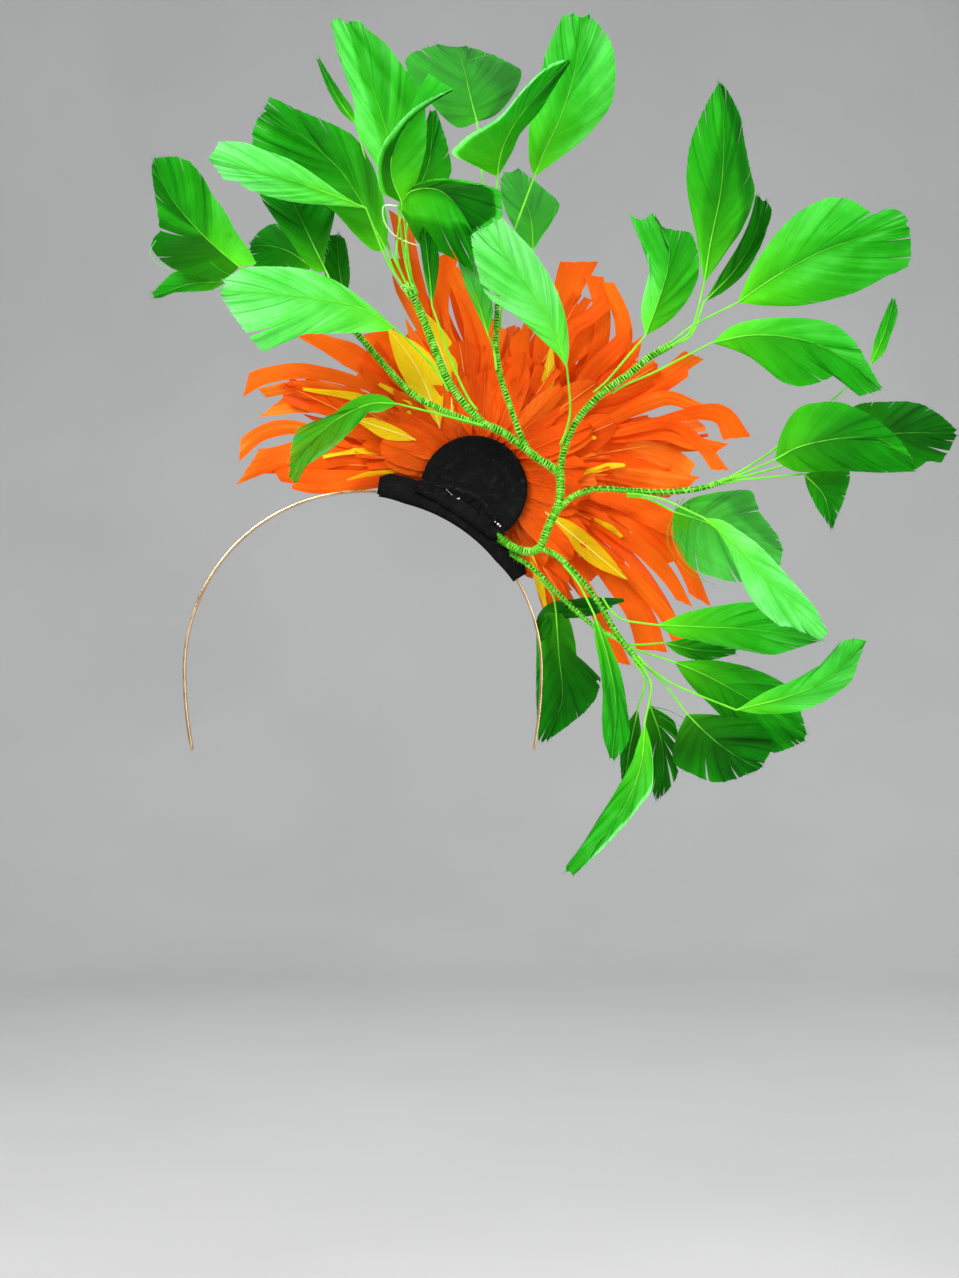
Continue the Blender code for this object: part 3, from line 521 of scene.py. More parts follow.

# host and share: the branch that carries the quill; yb, ym, yt: depths of the vane's base, middle and end in mm;
# fl, fr: fold of each half towards the back (+) or rear (-); tone: how light the dye is, partly also painted light and
# shade for how brightly each feather is lit;
# shaft, left, right: the rachis and each edge from base to end on the elevation (a third value of 1 is a corner);
# cuts: (side, place along the rachis, how deep it starts, how wide it opens) of each split between barbs
# painted light and shade in the tone: a value for each half (painted shade where negative, painted light where
# positive), bands across the vane between two places along the rachis, bands along the barbs for lit rims and shaded
# folds, and a painted highlight on a folded lip
GREEN = {
    "01": dict(host="spray_a", share=1.0, y=(-28, -31, -36), fold=(0.45, -0.20), tone=0.36, dark=(-0.24, 0.02), paint=(("l", 0.34, 0.42, 0.26), ("l", 0.62, 0.68, 0.22), ("r", 0.0, 0.30, 0.20)),
               shaft=((240, 267), (225, 255), (205, 237), (180, 210), (165, 187), (154, 162)),
               left=((240, 267), (222, 280), (200, 277), (180, 272), (163, 263), (152, 250), (152, 240), (159, 231, 1),
                     (157, 212), (153, 185), (151, 168), (153, 160)),
               right=((240, 267), (257, 264, 1), (249, 249), (238, 234), (225, 211), (212, 193), (202, 175), (189, 160, 1),
                      (176, 156), (164, 156), (154, 158)),
               cuts=(("l", 0.30, 0.45, 3.0), ("l", 0.45, 0.7, 1.5), ("r", 0.35, 0.8, 1.0))),
    "02": dict(host="spray_a", share=1.0, y=(-14, -10, -6), fold=(0.30, 0.30), tone=0.44,
               shaft=((226, 282), (190, 284), (153, 297)),
               left=((226, 282), (212, 290), (190, 292), (172, 293), (160, 298), (153, 298)),
               right=((226, 282), (205, 274), (185, 271), (174, 272), (163, 281), (152, 293))),
    "03": dict(host="spray_a", share=1.0, y=(-8, 0, 5), fold=(0.20, 0.25), tone=0.22,
               shaft=((313, 268), (290, 252), (270, 246), (250, 246)),
               left=((313, 268), (285, 277), (262, 276), (254, 269, 1), (249, 250)),
               right=((313, 268), (302, 252), (292, 238), (280, 225), (270, 224), (258, 232), (250, 243))),
    "04": dict(host="spray_a", share=1.0, y=(-18, -19, -16), fold=(0.15, 0.30), tone=0.24,
               shaft=((326, 271), (309, 236), (293, 202), (286, 188)),
               left=((326, 271), (316, 272), (303, 260), (288, 238), (273, 217), (260, 196), (264, 184)),
               right=((326, 271), (323, 258), (330, 235), (335, 210), (330, 190), (310, 182))),
    "42": dict(host="spray_a", share=1.0, y=(-4, 2, 6), fold=(0.20, 0.20), tone=0.20,
               shaft=((345, 300), (339, 268), (337, 234)),
               left=((345, 300), (326, 278), (325, 252), (329, 235)),
               right=((345, 300), (350, 278), (348, 252), (345, 239, 1), (338, 233))),
    "05": dict(host="spray_b", share=0.42, y=(-35, -43, -48), fold=(-0.15, 0.20), tone=0.86, sweep=2.7,
               shaft=((395, 328), (360, 308), (310, 298), (265, 293), (221, 291)),
               left=((395, 328), (385, 331), (352, 333), (322, 334), (296, 335), (278, 345), (262, 353, 1), (247, 336, 1),
                     (238, 323), (228, 309), (220, 295)),
               right=((395, 328), (370, 305), (340, 283), (320, 274), (300, 268), (270, 266), (243, 268), (222, 280, 1),
                      (224, 284), (219, 290)),
               cuts=(("l", 0.22, 0.52, 5.0), ("l", 0.42, 0.66, 5.0), ("r", 0.55, 0.82, 1.6), ("r", 0.7, 0.86, 1.4),
                     ("l", 0.70, 0.85, 1.2), ("r", 0.4, 0.9, 1.0))),
    "06": dict(host="spray_b", share=1.0, y=(-37, -44, -52), fold=(0.10, 0.25), tone=0.86, sweep=2.7, rib=(("l", 0.0, 0.10, -0.42), ("r", 0.0, 0.08, -0.30), ("l", 0.42, 0.50, -0.16)),
               shaft=((366, 208), (330, 194), (290, 180), (250, 170), (209, 158)),
               left=((366, 208), (340, 206), (300, 203), (270, 197), (245, 188), (235, 180, 1), (224, 180, 1), (208, 159)),
               right=((366, 208), (345, 197), (325, 183), (305, 168), (285, 157), (265, 150), (243, 142), (218, 141, 1),
                      (214, 150), (209, 157)),
               cuts=(("r", 0.3, 0.6, 2.5), ("l", 0.5, 0.8, 1.5), ("r", 0.55, 0.8, 1.5))),
    "07": dict(host="spray_b", share=1.0, y=(-23, -20, -26), fold=(0.20, 0.25), tone=0.34, rib=(("r", 0.0, 0.12, 0.18), ("l", 0.75, 1.0, 0.10)),
               shaft=((386, 250), (375, 228), (364, 206), (340, 170), (313, 145), (285, 125), (265, 111)),
               left=((386, 250), (372, 250), (355, 235), (335, 213), (316, 200), (296, 190), (272, 178), (256, 164),
                     (252, 150), (252, 130), (257, 118), (264, 112)),
               right=((386, 250), (388, 228), (384, 200), (378, 180), (371, 162), (355, 137), (330, 122), (300, 110),
                      (285, 103), (269, 96, 1), (264, 108)),
               cuts=(("r", 0.35, 0.75, 1.2), ("l", 0.5, 0.8, 1.0))),
    "08": dict(host="spray_b", share=1.0, y=(-29, -30, -40), fold=(0.20, 0.15), tone=0.6, rib=(("l", 0.30, 1.0, 0.22), ("r", 0.55, 0.75, -0.14)),
               shaft=((403, 205), (395, 160), (380, 110), (362, 60), (346, 22)),
               left=((403, 205), (390, 190), (377, 168), (366, 148), (355, 127), (353, 100), (345, 75), (336, 48), (330, 20, 1),
                     (340, 17)),
               right=((403, 205), (415, 180), (424, 150), (425, 115), (420, 88), (405, 68), (388, 45), (370, 30), (360, 20, 1),
                      (350, 21)),
               cuts=(("l", 0.55, 0.75, 2.5), ("r", 0.6, 0.8, 2.0), ("r", 0.35, 0.85, 1.2))),
    "09": dict(host="spray_b", share=1.0, y=(-46, -56, -66), fold=(-0.35, 0.60), tone=0.44, sweep=2.2, dark=(-0.34, 0.08), rib=(("l", 0.74, 1.0, 0.60), ("l", 0.0, 0.10, 0.35)),
               lip=dict(l=3.5), lip_tone=0.85,
               shaft=((402, 203), (391, 172), (397, 138), (422, 110), (453, 91)),
               left=((402, 203), (391, 198), (380, 190), (377, 165), (381, 149), (389, 135), (410, 111), (432, 97), (455, 88)),
               right=((402, 203), (413, 190), (422, 165), (427, 140), (426, 110), (425, 91, 1), (429, 72, 1), (455, 90))),
    "10": dict(host="spray_b", share=1.0, y=(-14, -13, -12), fold=(0.5, 0.5), tone=0.42,
               shaft=((357, 126), (337, 97), (318, 59)),
               left=((357, 126), (341, 112), (327, 88), (317, 60)),
               right=((357, 126), (352, 108), (337, 86), (319, 58))),
    "11": dict(host="spray_c", share=1.0, y=(8, 15, 22), fold=(0.12, 0.12), tone=0.4, thin=True, rib=(("r", 0.5, 1.0, -0.18),),
               shaft=((477, 122), (470, 95), (464, 69), (456, 46)),
               left=((477, 122), (458, 128), (440, 114), (421, 92), (408, 73), (405, 58), (420, 49), (438, 44)),
               right=((477, 122), (496, 115), (512, 97), (522, 72), (505, 60), (484, 51), (466, 46))),
    "12": dict(host="spray_c", share=1.0, y=(-22, -30, -38), fold=(0.30, 0.20), tone=0.2, dark=(0.10, 0.0), lip=dict(l=2.5), lip_tone=0.5, rib=(("l", 0.86, 1.0, 0.34), ("r", 0.0, 0.12, 0.16)),
               shaft=((497, 177), (502, 150), (516, 122), (540, 92), (570, 60)),
               left=((497, 177), (475, 166), (452, 154), (459, 143), (470, 134), (486, 125), (503, 113), (524, 88), (545, 68),
                     (558, 61), (569, 59)),
               right=((497, 177), (505, 165), (513, 150), (522, 131), (540, 111), (553, 90), (563, 74), (571, 61))),
    "13": dict(host="spray_c", share=1.0, y=(-10, -6, -4), fold=(0.18, 0.20), tone=0.6, rib=(("l", 0.0, 0.25, -0.16), ("r", 0.60, 1.0, 0.12)),
               shaft=((534, 177), (545, 150), (561, 116), (575, 70), (582, 16)),
               left=((534, 177), (529, 158), (529, 127), (536, 95), (543, 62), (551, 38), (563, 15, 1), (573, 13)),
               right=((534, 177), (560, 158), (580, 143), (598, 124), (611, 105), (616, 85), (616, 62), (612, 43), (603, 28),
                      (589, 14)),
               cuts=(("l", 0.5, 0.75, 1.5), ("r", 0.55, 0.8, 1.5))),
    "14": dict(host="spray_c", share=0.86, y=(0, 6, 10), fold=(0.20, 0.30), tone=0.52, thin=True,
               shaft=((533, 250), (530, 215), (512, 171)),
               left=((533, 250), (520, 237), (508, 217), (502, 200), (500, 182), (504, 172)),
               right=((533, 250), (545, 232), (557, 213), (559, 202), (545, 189), (532, 178), (518, 168))),
    "15": dict(host="spray_b", share=1.0, y=(-18, -14, -12), fold=(0.25, 0.20), tone=0.36,
               shaft=((409, 205), (428, 165), (434, 110)),
               left=((409, 205), (412, 172), (420, 138), (430, 111)),
               right=((409, 205), (436, 196), (451, 174), (449, 150), (442, 126), (436, 109))),
    "16": dict(host="spray_b", share=1.0, y=(-42, -46, -38), fold=(0.25, 0.45), tone=0.13, dark=(-0.02, 0.10), sweep=2.2,
               lip=dict(l=3.0), rib=(("r", 0.0, 0.45, 0.34),),
               shaft=((398, 207), (412, 191), (438, 190), (458, 207), (474, 234)),
               left=((398, 207), (404, 193), (413, 186), (428, 180), (443, 178), (470, 181), (499, 190), (502, 203), (502, 218),
                     (490, 225), (475, 233)),
               right=((398, 207), (407, 222), (418, 243), (436, 251), (456, 261), (474, 273, 1), (475, 252), (473, 236)),
               cuts=(("r", 0.35, 0.5, 2.5), ("r", 0.5, 0.5, 2.5), ("r", 0.22, 0.5, 2.0), ("l", 0.5, 0.8, 1.0))),
    "17": dict(host="spray_d", share=0.30, y=(-36, -46, -54), fold=(0.18, 0.12), tone=0.88, sweep=2.7,
               shaft=((567, 368), (556, 335), (540, 305), (515, 270), (485, 226)),
               left=((567, 368), (556, 353), (542, 340), (523, 322), (505, 308), (490, 299), (480, 284), (477, 270), (472, 250),
                     (470, 234, 1), (479, 229)),
               right=((567, 368), (569, 343), (564, 310), (552, 280), (532, 249), (517, 233), (502, 217, 1), (494, 221)),
               cuts=(("l", 0.17, 0.30, 3.5), ("l", 0.33, 0.45, 4.5))),
    "18": dict(host="spray_c", share=0.62, y=(-26, -24, -22), fold=(0.20, 0.20), tone=0.62, thin=True,
               shaft=((488, 335), (477, 299), (458, 252)),
               left=((488, 335), (477, 312), (465, 285), (456, 254)),
               right=((488, 335), (493, 310), (486, 280), (471, 258), (459, 250))),
    "19": dict(host="spray_b", share=0.28, y=(-32, -33, -34), fold=(0.40, 0.40), tone=0.24,
               shaft=((432, 306), (430, 280), (424, 222)),
               left=((432, 306), (425, 278), (420, 245), (416, 216)),
               right=((432, 306), (437, 280), (439, 255), (431, 230), (419, 214))),
    "20": dict(host="spray_d", share=0.60, y=(-20, -13, -6), fold=(0.20, 0.20), tone=0.46, dark=(0.16, -0.05), paint=(("l", 0.0, 0.35, 0.20), ("r", 0.55, 0.9, -0.18)),
               shaft=((645, 336), (657, 305), (668, 268), (668, 240), (654, 218)),
               left=((645, 336), (641, 309), (648, 277), (651, 264), (646, 240), (629, 214, 1), (641, 219), (652, 213)),
               right=((645, 336), (668, 322), (686, 303), (697, 282), (700, 264), (697, 245), (691, 232, 1), (676, 229),
                      (662, 226), (655, 215)),
               cuts=(("l", 0.45, 0.6, 3.0), ("r", 0.6, 0.75, 2.0))),
    "21": dict(host="spray_d", share=1.0, y=(-34, -39, -48), fold=(0.22, 0.20), tone=0.34, dark=(0.0, 0.0), rib=(("l", 0.35, 1.0, 0.16), ("r", 0.72, 1.0, -0.26)),
               shaft=((704, 284), (711, 240), (721, 190), (724, 135), (720, 82)),
               left=((704, 284), (697, 240), (687, 190), (687, 160), (692, 136), (700, 116), (709, 98), (719, 82)),
               right=((704, 284), (727, 251), (744, 226), (755, 194), (750, 165), (745, 140), (740, 114), (729, 92), (721, 83)),
               cuts=(("l", 0.5, 0.7, 1.6), ("r", 0.42, 0.7, 1.6))),
    "22": dict(host="spray_d", share=1.0, y=(-16, -10, -6), fold=(0.20, 0.35), tone=0.22,
               shaft=((704, 302), (735, 270), (755, 235), (763, 200)),
               left=((704, 302), (720, 275), (740, 242), (752, 214), (756, 194, 1), (760, 197)),
               right=((704, 302), (725, 291), (746, 272), (760, 248), (768, 227), (772, 210), (766, 200))),
    "23": dict(host="spray_d", share=1.0, y=(-31, -34, -32), fold=(0.20, 0.18), tone=0.5, rib=(("l", 0.45, 1.0, 0.10), ("r", 0.0, 0.35, 0.16), ("l", 0.0, 0.10, -0.22)),
               shaft=((737, 303), (775, 277), (820, 252), (862, 237), (908, 224)),
               left=((737, 303), (753, 267), (775, 235), (801, 210), (830, 197), (855, 200), (874, 213), (889, 208), (903, 212),
                     (908, 220)),
               right=((737, 303), (770, 306), (807, 305), (855, 293), (887, 277), (905, 269), (911, 262), (912, 245), (910, 228)),
               cuts=(("l", 0.45, 0.75, 2.0), ("r", 0.5, 0.8, 1.5))),
    "24": dict(host="spray_d", share=0.72, y=(-24, -38, -46), fold=(0.35, 0.25), tone=0.48, dark=(0.10, -0.06),
               shaft=((711, 343), (755, 335), (803, 340), (845, 358), (880, 390)),
               left=((711, 343), (734, 325), (766, 318), (807, 318), (828, 322), (844, 330), (857, 343), (868, 362), (882, 388)),
               right=((711, 343), (734, 350), (756, 361), (782, 382), (804, 387), (822, 382), (838, 376), (848, 386), (860, 397, 1),
                      (871, 394), (881, 390)),
               cuts=(("r", 0.5, 0.6, 3.0), ("r", 0.3, 0.8, 1.5))),
    "25": dict(host="spray_e", share=1.0, y=(-12, -15, -17), fold=(0.4, 0.4), tone=0.50,
               shaft=((870, 366), (884, 334), (894, 299)),
               left=((870, 366), (874, 342), (884, 315), (892, 298)),
               right=((870, 366), (884, 353), (892, 332), (898, 313), (895, 299))),
    "26": dict(host="spray_e", share=1.0, y=(-38, -44, -48), fold=(0.25, 0.20), tone=0.28, paint=(("l", 0.55, 0.85, 0.20), ("l", 0.10, 0.25, 0.12)),
               shaft=((774, 460), (802, 446), (845, 438), (882, 440), (914, 465)),
               left=((774, 460), (782, 431), (798, 408), (823, 401), (849, 404), (874, 417), (900, 439), (916, 464)),
               right=((774, 460), (798, 472), (839, 471), (880, 473), (916, 472, 1), (915, 467))),
    "27": dict(host="spray_e", share=1.0, y=(-22, -19, -14), fold=(0.15, 0.20), tone=0.12,
               shaft=((840, 447), (890, 434), (955, 433)),
               left=((840, 447), (846, 417), (858, 404), (890, 401), (919, 403), (940, 414), (957, 430)),
               right=((840, 447), (880, 470), (914, 470), (928, 462), (942, 463, 1), (951, 448), (957, 435)),
               cuts=(("r", 0.5, 0.6, 3.0),)),
    "28": dict(host="spray_e", share=1.0, y=(-30, -27, -25), fold=(0.30, 0.20), tone=0.24,
               shaft=((804, 474), (824, 496), (832, 528)),
               left=((804, 474), (830, 468), (850, 470), (846, 495), (838, 515), (833, 528)),
               right=((804, 474), (808, 490), (818, 510), (831, 528))),
    "29": dict(cup=0.10, host="spray_e", share=0.50, y=(-20, -13, -8), fold=(0.20, 0.15), tone=0.60, thin=True, rib=(("l", 0.55, 1.0, -0.22),),
               shaft=((674, 512), (705, 522), (740, 536), (783, 556)),
               left=((674, 512), (688, 500), (702, 495), (725, 491), (750, 490), (757, 502), (761, 513), (771, 526), (779, 537),
                     (783, 550)),
               right=((674, 512), (673, 530), (678, 546), (688, 564), (700, 573), (716, 578), (739, 583), (762, 576), (781, 564)),
               cuts=(("r", 0.18, 0.55, 2.0), ("r", 0.34, 0.6, 2.5))),
    "30": dict(host="spray_e", share=0.56, y=(-42, -50, -58), fold=(0.15, 0.15), tone=0.88, sweep=2.7,
               shaft=((704, 518), (735, 545), (765, 577), (797, 608), (826, 636)),
               left=((704, 518), (722, 520), (740, 531), (759, 545), (775, 561), (790, 578), (804, 594), (818, 611, 1), (829, 634)),
               right=((704, 518), (712, 524), (724, 534), (735, 558), (744, 586), (752, 600), (762, 612), (780, 627, 1), (792, 628),
                      (806, 634), (822, 641)),
               cuts=(("r", 0.62, 0.7, 4.0), ("l", 0.6, 0.8, 2.5), ("r", 0.4, 0.8, 2.0), ("r", 0.5, 0.85, 2.0), ("l", 0.4, 0.85, 1.5))),
    "31": dict(host="spray_f", share=0.60, y=(-26, -31, -34), fold=(0.18, 0.18), tone=0.6,
               shaft=((657, 625), (700, 627), (745, 629), (823, 638)),
               left=((657, 625), (685, 613), (716, 606), (753, 602), (780, 612), (803, 624), (824, 636)),
               right=((657, 625), (675, 636), (702, 642), (740, 650), (773, 655), (800, 648), (823, 640))),
    "32": dict(host="lower", share=1.0, y=(-12, -8, -5), fold=(0.25, 0.20), tone=0.32,
               shaft=((664, 643), (697, 650), (736, 652)),
               left=((664, 643), (690, 638), (715, 642), (737, 650)),
               right=((664, 643), (680, 655), (705, 661), (736, 654))),
    "33": dict(host="spray_f", share=1.0, y=(-30, -40, -52), fold=(0.20, 0.30), tone=0.67,
               shaft=((736, 710), (780, 699), (815, 686), (842, 666), (865, 639)),
               left=((736, 710), (765, 692), (795, 679), (813, 669), (827, 661), (833, 651), (841, 641, 1), (853, 638)),
               right=((736, 710), (760, 714), (789, 713), (808, 709), (826, 701), (840, 691), (852, 681), (860, 660), (866, 641)),
               cuts=(("l", 0.5, 0.75, 2.5), ("r", 0.5, 0.85, 1.5))),
    "34": dict(host="lower", share=1.0, y=(-13, -11, -12), fold=(0.12, 0.15), tone=0.34, rib=(("l", 0.0, 0.4, 0.10), ("r", 0.5, 1.0, -0.12)),
               shaft=((674, 662), (705, 675), (740, 694), (772, 714), (806, 738)),
               left=((674, 662), (698, 660), (722, 661), (755, 669), (784, 683), (796, 697), (802, 713), (807, 734)),
               right=((674, 662), (690, 685), (710, 705), (733, 727), (755, 742), (773, 753), (790, 749), (805, 741)),
               cuts=(("l", 0.45, 0.7, 2.0), ("r", 0.4, 0.8, 1.5))),
    "35": dict(host="spray_f", share=1.0, y=(-23, -19, -15), fold=(0.15, 0.15), tone=0.13,
               shaft=((687, 714), (705, 732), (727, 750), (760, 770)),
               left=((687, 714), (720, 715), (757, 723), (768, 733), (774, 744), (768, 757), (762, 767)),
               right=((687, 714), (677, 735), (673, 762), (695, 776), (716, 783), (737, 779), (756, 771)),
               cuts=(("r", 0.3, 0.5, 2.5), ("r", 0.5, 0.6, 2.0))),
    "36": dict(host="spray_f", share=1.0, y=(-12, -7, -2), fold=(0.15, 0.20), tone=0.10,
               shaft=((650, 706), (660, 735), (664, 765), (657, 799)),
               left=((650, 706), (674, 721), (679, 748), (678, 774), (668, 791), (658, 799)),
               right=((650, 706), (645, 722), (649, 747), (652, 772), (652, 790), (656, 800)),
               cuts=(("l", 0.2, 0.15, 5.0), ("l", 0.32, 0.15, 5.0), ("l", 0.45, 0.2, 4.0), ("r", 0.3, 0.2, 3.0))),
    "37": dict(lip=dict(l=1.6), lip_tone=0.4, host="spray_f", share=1.0, y=(-34, -44, -56), fold=(0.20, 0.20), tone=0.58,
               shaft=((645, 722), (641, 765), (625, 805), (600, 840), (569, 873)),
               left=((645, 722), (652, 750), (653, 783), (648, 796), (640, 806), (629, 821), (617, 834), (603, 849), (589, 862),
                     (573, 876)),
               right=((645, 722), (637, 745), (631, 764), (615, 792), (596, 822), (581, 846), (565, 867, 1), (566, 872)),
               cuts=(("l", 0.5, 0.8, 1.5),)),
    "38": dict(host="spray_f", share=1.0, y=(-22, -20, -18), fold=(0.20, 0.20), tone=0.10,
               shaft=((638, 708), (630, 746), (624, 787)),
               left=((638, 708), (641, 735), (638, 765), (625, 788)),
               right=((638, 708), (625, 728), (620, 755), (622, 785))),
    "39": dict(host="spray_f", share=0.30, y=(-29, -36, -42), fold=(0.20, 0.25), tone=0.48, rib=(("l", 0.12, 0.30, -0.20), ("r", 0.20, 0.45, -0.22)),
               shaft=((594, 614), (607, 655), (616, 705), (612, 760)),
               left=((594, 614), (608, 640), (621, 673), (627, 705), (630, 735), (624, 750), (614, 761)),
               right=((594, 614), (595, 640), (600, 668), (603, 699), (602, 722), (604, 742), (610, 758))),
    "40": dict(host="lower", share=0.42, y=(-3, 8, 16), fold=(0.15, 0.20), tone=0.15,
               shaft=((556, 612), (559, 655), (562, 700), (546, 740)),
               left=((556, 612), (568, 617), (575, 640), (579, 668), (589, 683), (602, 679, 1), (597, 697), (587, 711), (566, 728),
                     (547, 741)),
               right=((556, 612), (545, 614), (537, 625), (536, 660), (536, 700), (538, 741, 1), (543, 742)),
               cuts=(("l", 0.25, 0.4, 3.0),)),
    "41": dict(host="spray_a", share=0.14, y=(-30, -38, -46), fold=(0.15, 0.20), tone=0.54, thin=True, rib=(("r", 0.55, 1.0, -0.06), ("l", 0.75, 1.0, 0.22)),
               shaft=((398, 404), (370, 404), (336, 420), (310, 445), (292, 481)),
               left=((398, 404), (380, 412), (358, 414), (352, 430), (329, 451), (306, 467), (297, 483, 1), (294, 483)),
               right=((398, 404), (382, 395), (364, 395), (348, 402), (335, 412), (315, 422), (297, 430), (290, 452), (289, 477))),
}
FRONT_Y = {"41": (398, 404)}


def quill_roots():
    """Where each quill meets its branch: beside the thread along it, fanned round the end face at its end."""
    roots, rings = {}, {}
    for name, row in GREEN.items():
        host, share = row["host"], row["share"]
        path = paths[host]
        at = min(int(share * (len(path) - 1)), len(path) - 1)
        point, way = path[at], tangent(path, at)
        r0, r1 = RADII[host]
        thick = r0 + (r1 - r0) * share
        out = place(*row["shaft"][0], row["y"][0] / 1000) - point
        across = (out - way * out.dot(way)).normalized()
        if share < 1:
            roots[name] = (point + across * (thick + QUILL_HALF + VANE_THICK / 2 + SEAT_GAP), way, across)
        else:
            rings.setdefault(host, []).append((name, point, way, across))
    for host, ring in rings.items():
        way, first = ring[0][2], ring[0][3]
        other = way.cross(first)
        angled = sorted((math.atan2(a.dot(other), a.dot(first)), name) for name, _, _, a in ring)
        count = len(angled)
        radius = max(0.0010, count * 0.0024 / (2 * math.pi))
        least = 2 * math.pi / count * 0.98
        angles = [a for a, _ in angled]
        for _ in range(200):
            for i in range(count):
                j = (i + 1) % count
                space = (angles[j] - angles[i]) + (2 * math.pi if j == 0 else 0)
                if count > 1 and space < least:
                    push = (least - space) / 2
                    angles[i] -= push
                    angles[j] += push
        for (_, name), a in zip(angled, angles):
            across = first * math.cos(a) + other * math.sin(a)
            roots[name] = (ring[0][1] + way * 0.0016 + across * radius, way, across)
    return roots


def barbs(shaft, edge, bounds, columns, points, sweep, rng, ragged=0.02, gape=0.05, bow=0.10, taper=0.0, lip=0.0,
          pinch=0.0):
    """One side of a vane on a flat sheet: patches of barbs between the splits.

    shaft, edge: Lines from base to end; bounds: (place, start, opening) of each split. Each barb leaves the
    shaft and sweeps forward to the edge. Yields for each patch the points (barbs, points, 2), the share along
    the vane, the share along each barb and each barb's place.
    """
    cuts = sorted([(0.008, 1.0, 0.0), (0.990, 1.0, 0.0)] + [tuple(b) for b in bounds])
    for (a, ja, ga), (b, jb, gb) in zip(cuts, cuts[1:]):
        n = max(3, int(round((b - a) * columns)) + 1)
        s = np.linspace(a, b, n)
        q = 1 - (1 - s) ** sweep
        if pinch:
            held = q[0] + (q[-1] - q[0]) * rng.uniform(0.3, 0.7)
            q = held + (q - held) * (1 - pinch * rng.uniform(0.8, 1.2))
        R, O = shaft.at(s), edge.at(q)
        span = O - R
        far = np.linalg.norm(span, axis=1, keepdims=True)
        back = -shaft.way(s)
        C = R + span * 0.5 + (back * 0.5 + edge_normal(R, O, shaft.way(s)) * 0.5) * far * bow
        length = 1 - ragged * np.abs(noise1(n, max(2, n // 3), rng)) - ragged * rng.uniform(0, 0.7, n)
        if taper:
            length *= 1 - taper * (s - a) / (b - a)
        steps = np.linspace(0, 1, points)
        if lip:
            steps = np.concatenate([np.linspace(0, 0.80, points - 5), np.linspace(0.84, 1.0, 5)])
        f = steps[None, :] * length[:, None]
        F = f[..., None]
        P = (1 - F) ** 2 * R[:, None] + 2 * F * (1 - F) * C[:, None] + F ** 2 * O[:, None]
        if lip:
            fold_at = 1 - lip / np.maximum(far, lip * 2.5)[:, 0]
            over = np.clip((f - fold_at[:, None]) / (1 - fold_at[:, None]), 0, 1)
            g = np.where(f > fold_at[:, None], fold_at[:, None] + (1 - fold_at[:, None]) * np.sin(over * math.pi * 0.80) / 1.0, f)
            F = np.clip(g, 0, 1)[..., None]
            P = (1 - F) ** 2 * R[:, None] + 2 * F * (1 - F) * C[:, None] + F ** 2 * O[:, None]
        way = edge.way(q)[:, None]
        open_a = ga / 2 * np.exp(-(s - a) / gape)[:, None] * ease((f - ja) / max(1 - ja, 1e-3))
        open_b = gb / 2 * np.exp(-(b - s) / gape)[:, None] * ease((f - jb) / max(1 - jb, 1e-3))
        P = P + way * (open_a - open_b)[..., None]
        along = np.clip(s[:, None] + (q - s)[:, None] * f, 0, 1)
        yield P, along, f, s


def edge_normal(R, O, way):
    """Unit vectors from the shaft towards the edge, square to the shaft."""
    d = O - R
    d = d - way * np.sum(d * way, axis=1, keepdims=True)
    return d / np.maximum(np.linalg.norm(d, axis=1, keepdims=True), 1e-6)


def bow_depth(row, t):
    """Depth of the rachis in metres at share t, smoothly through base, middle and end."""
    yb, ym, yt = (y / 1000 for y in row["y"])
    return yb * (1 - t) * (1 - 2 * t) + ym * 4 * t * (1 - t) + yt * t * (2 * t - 1)


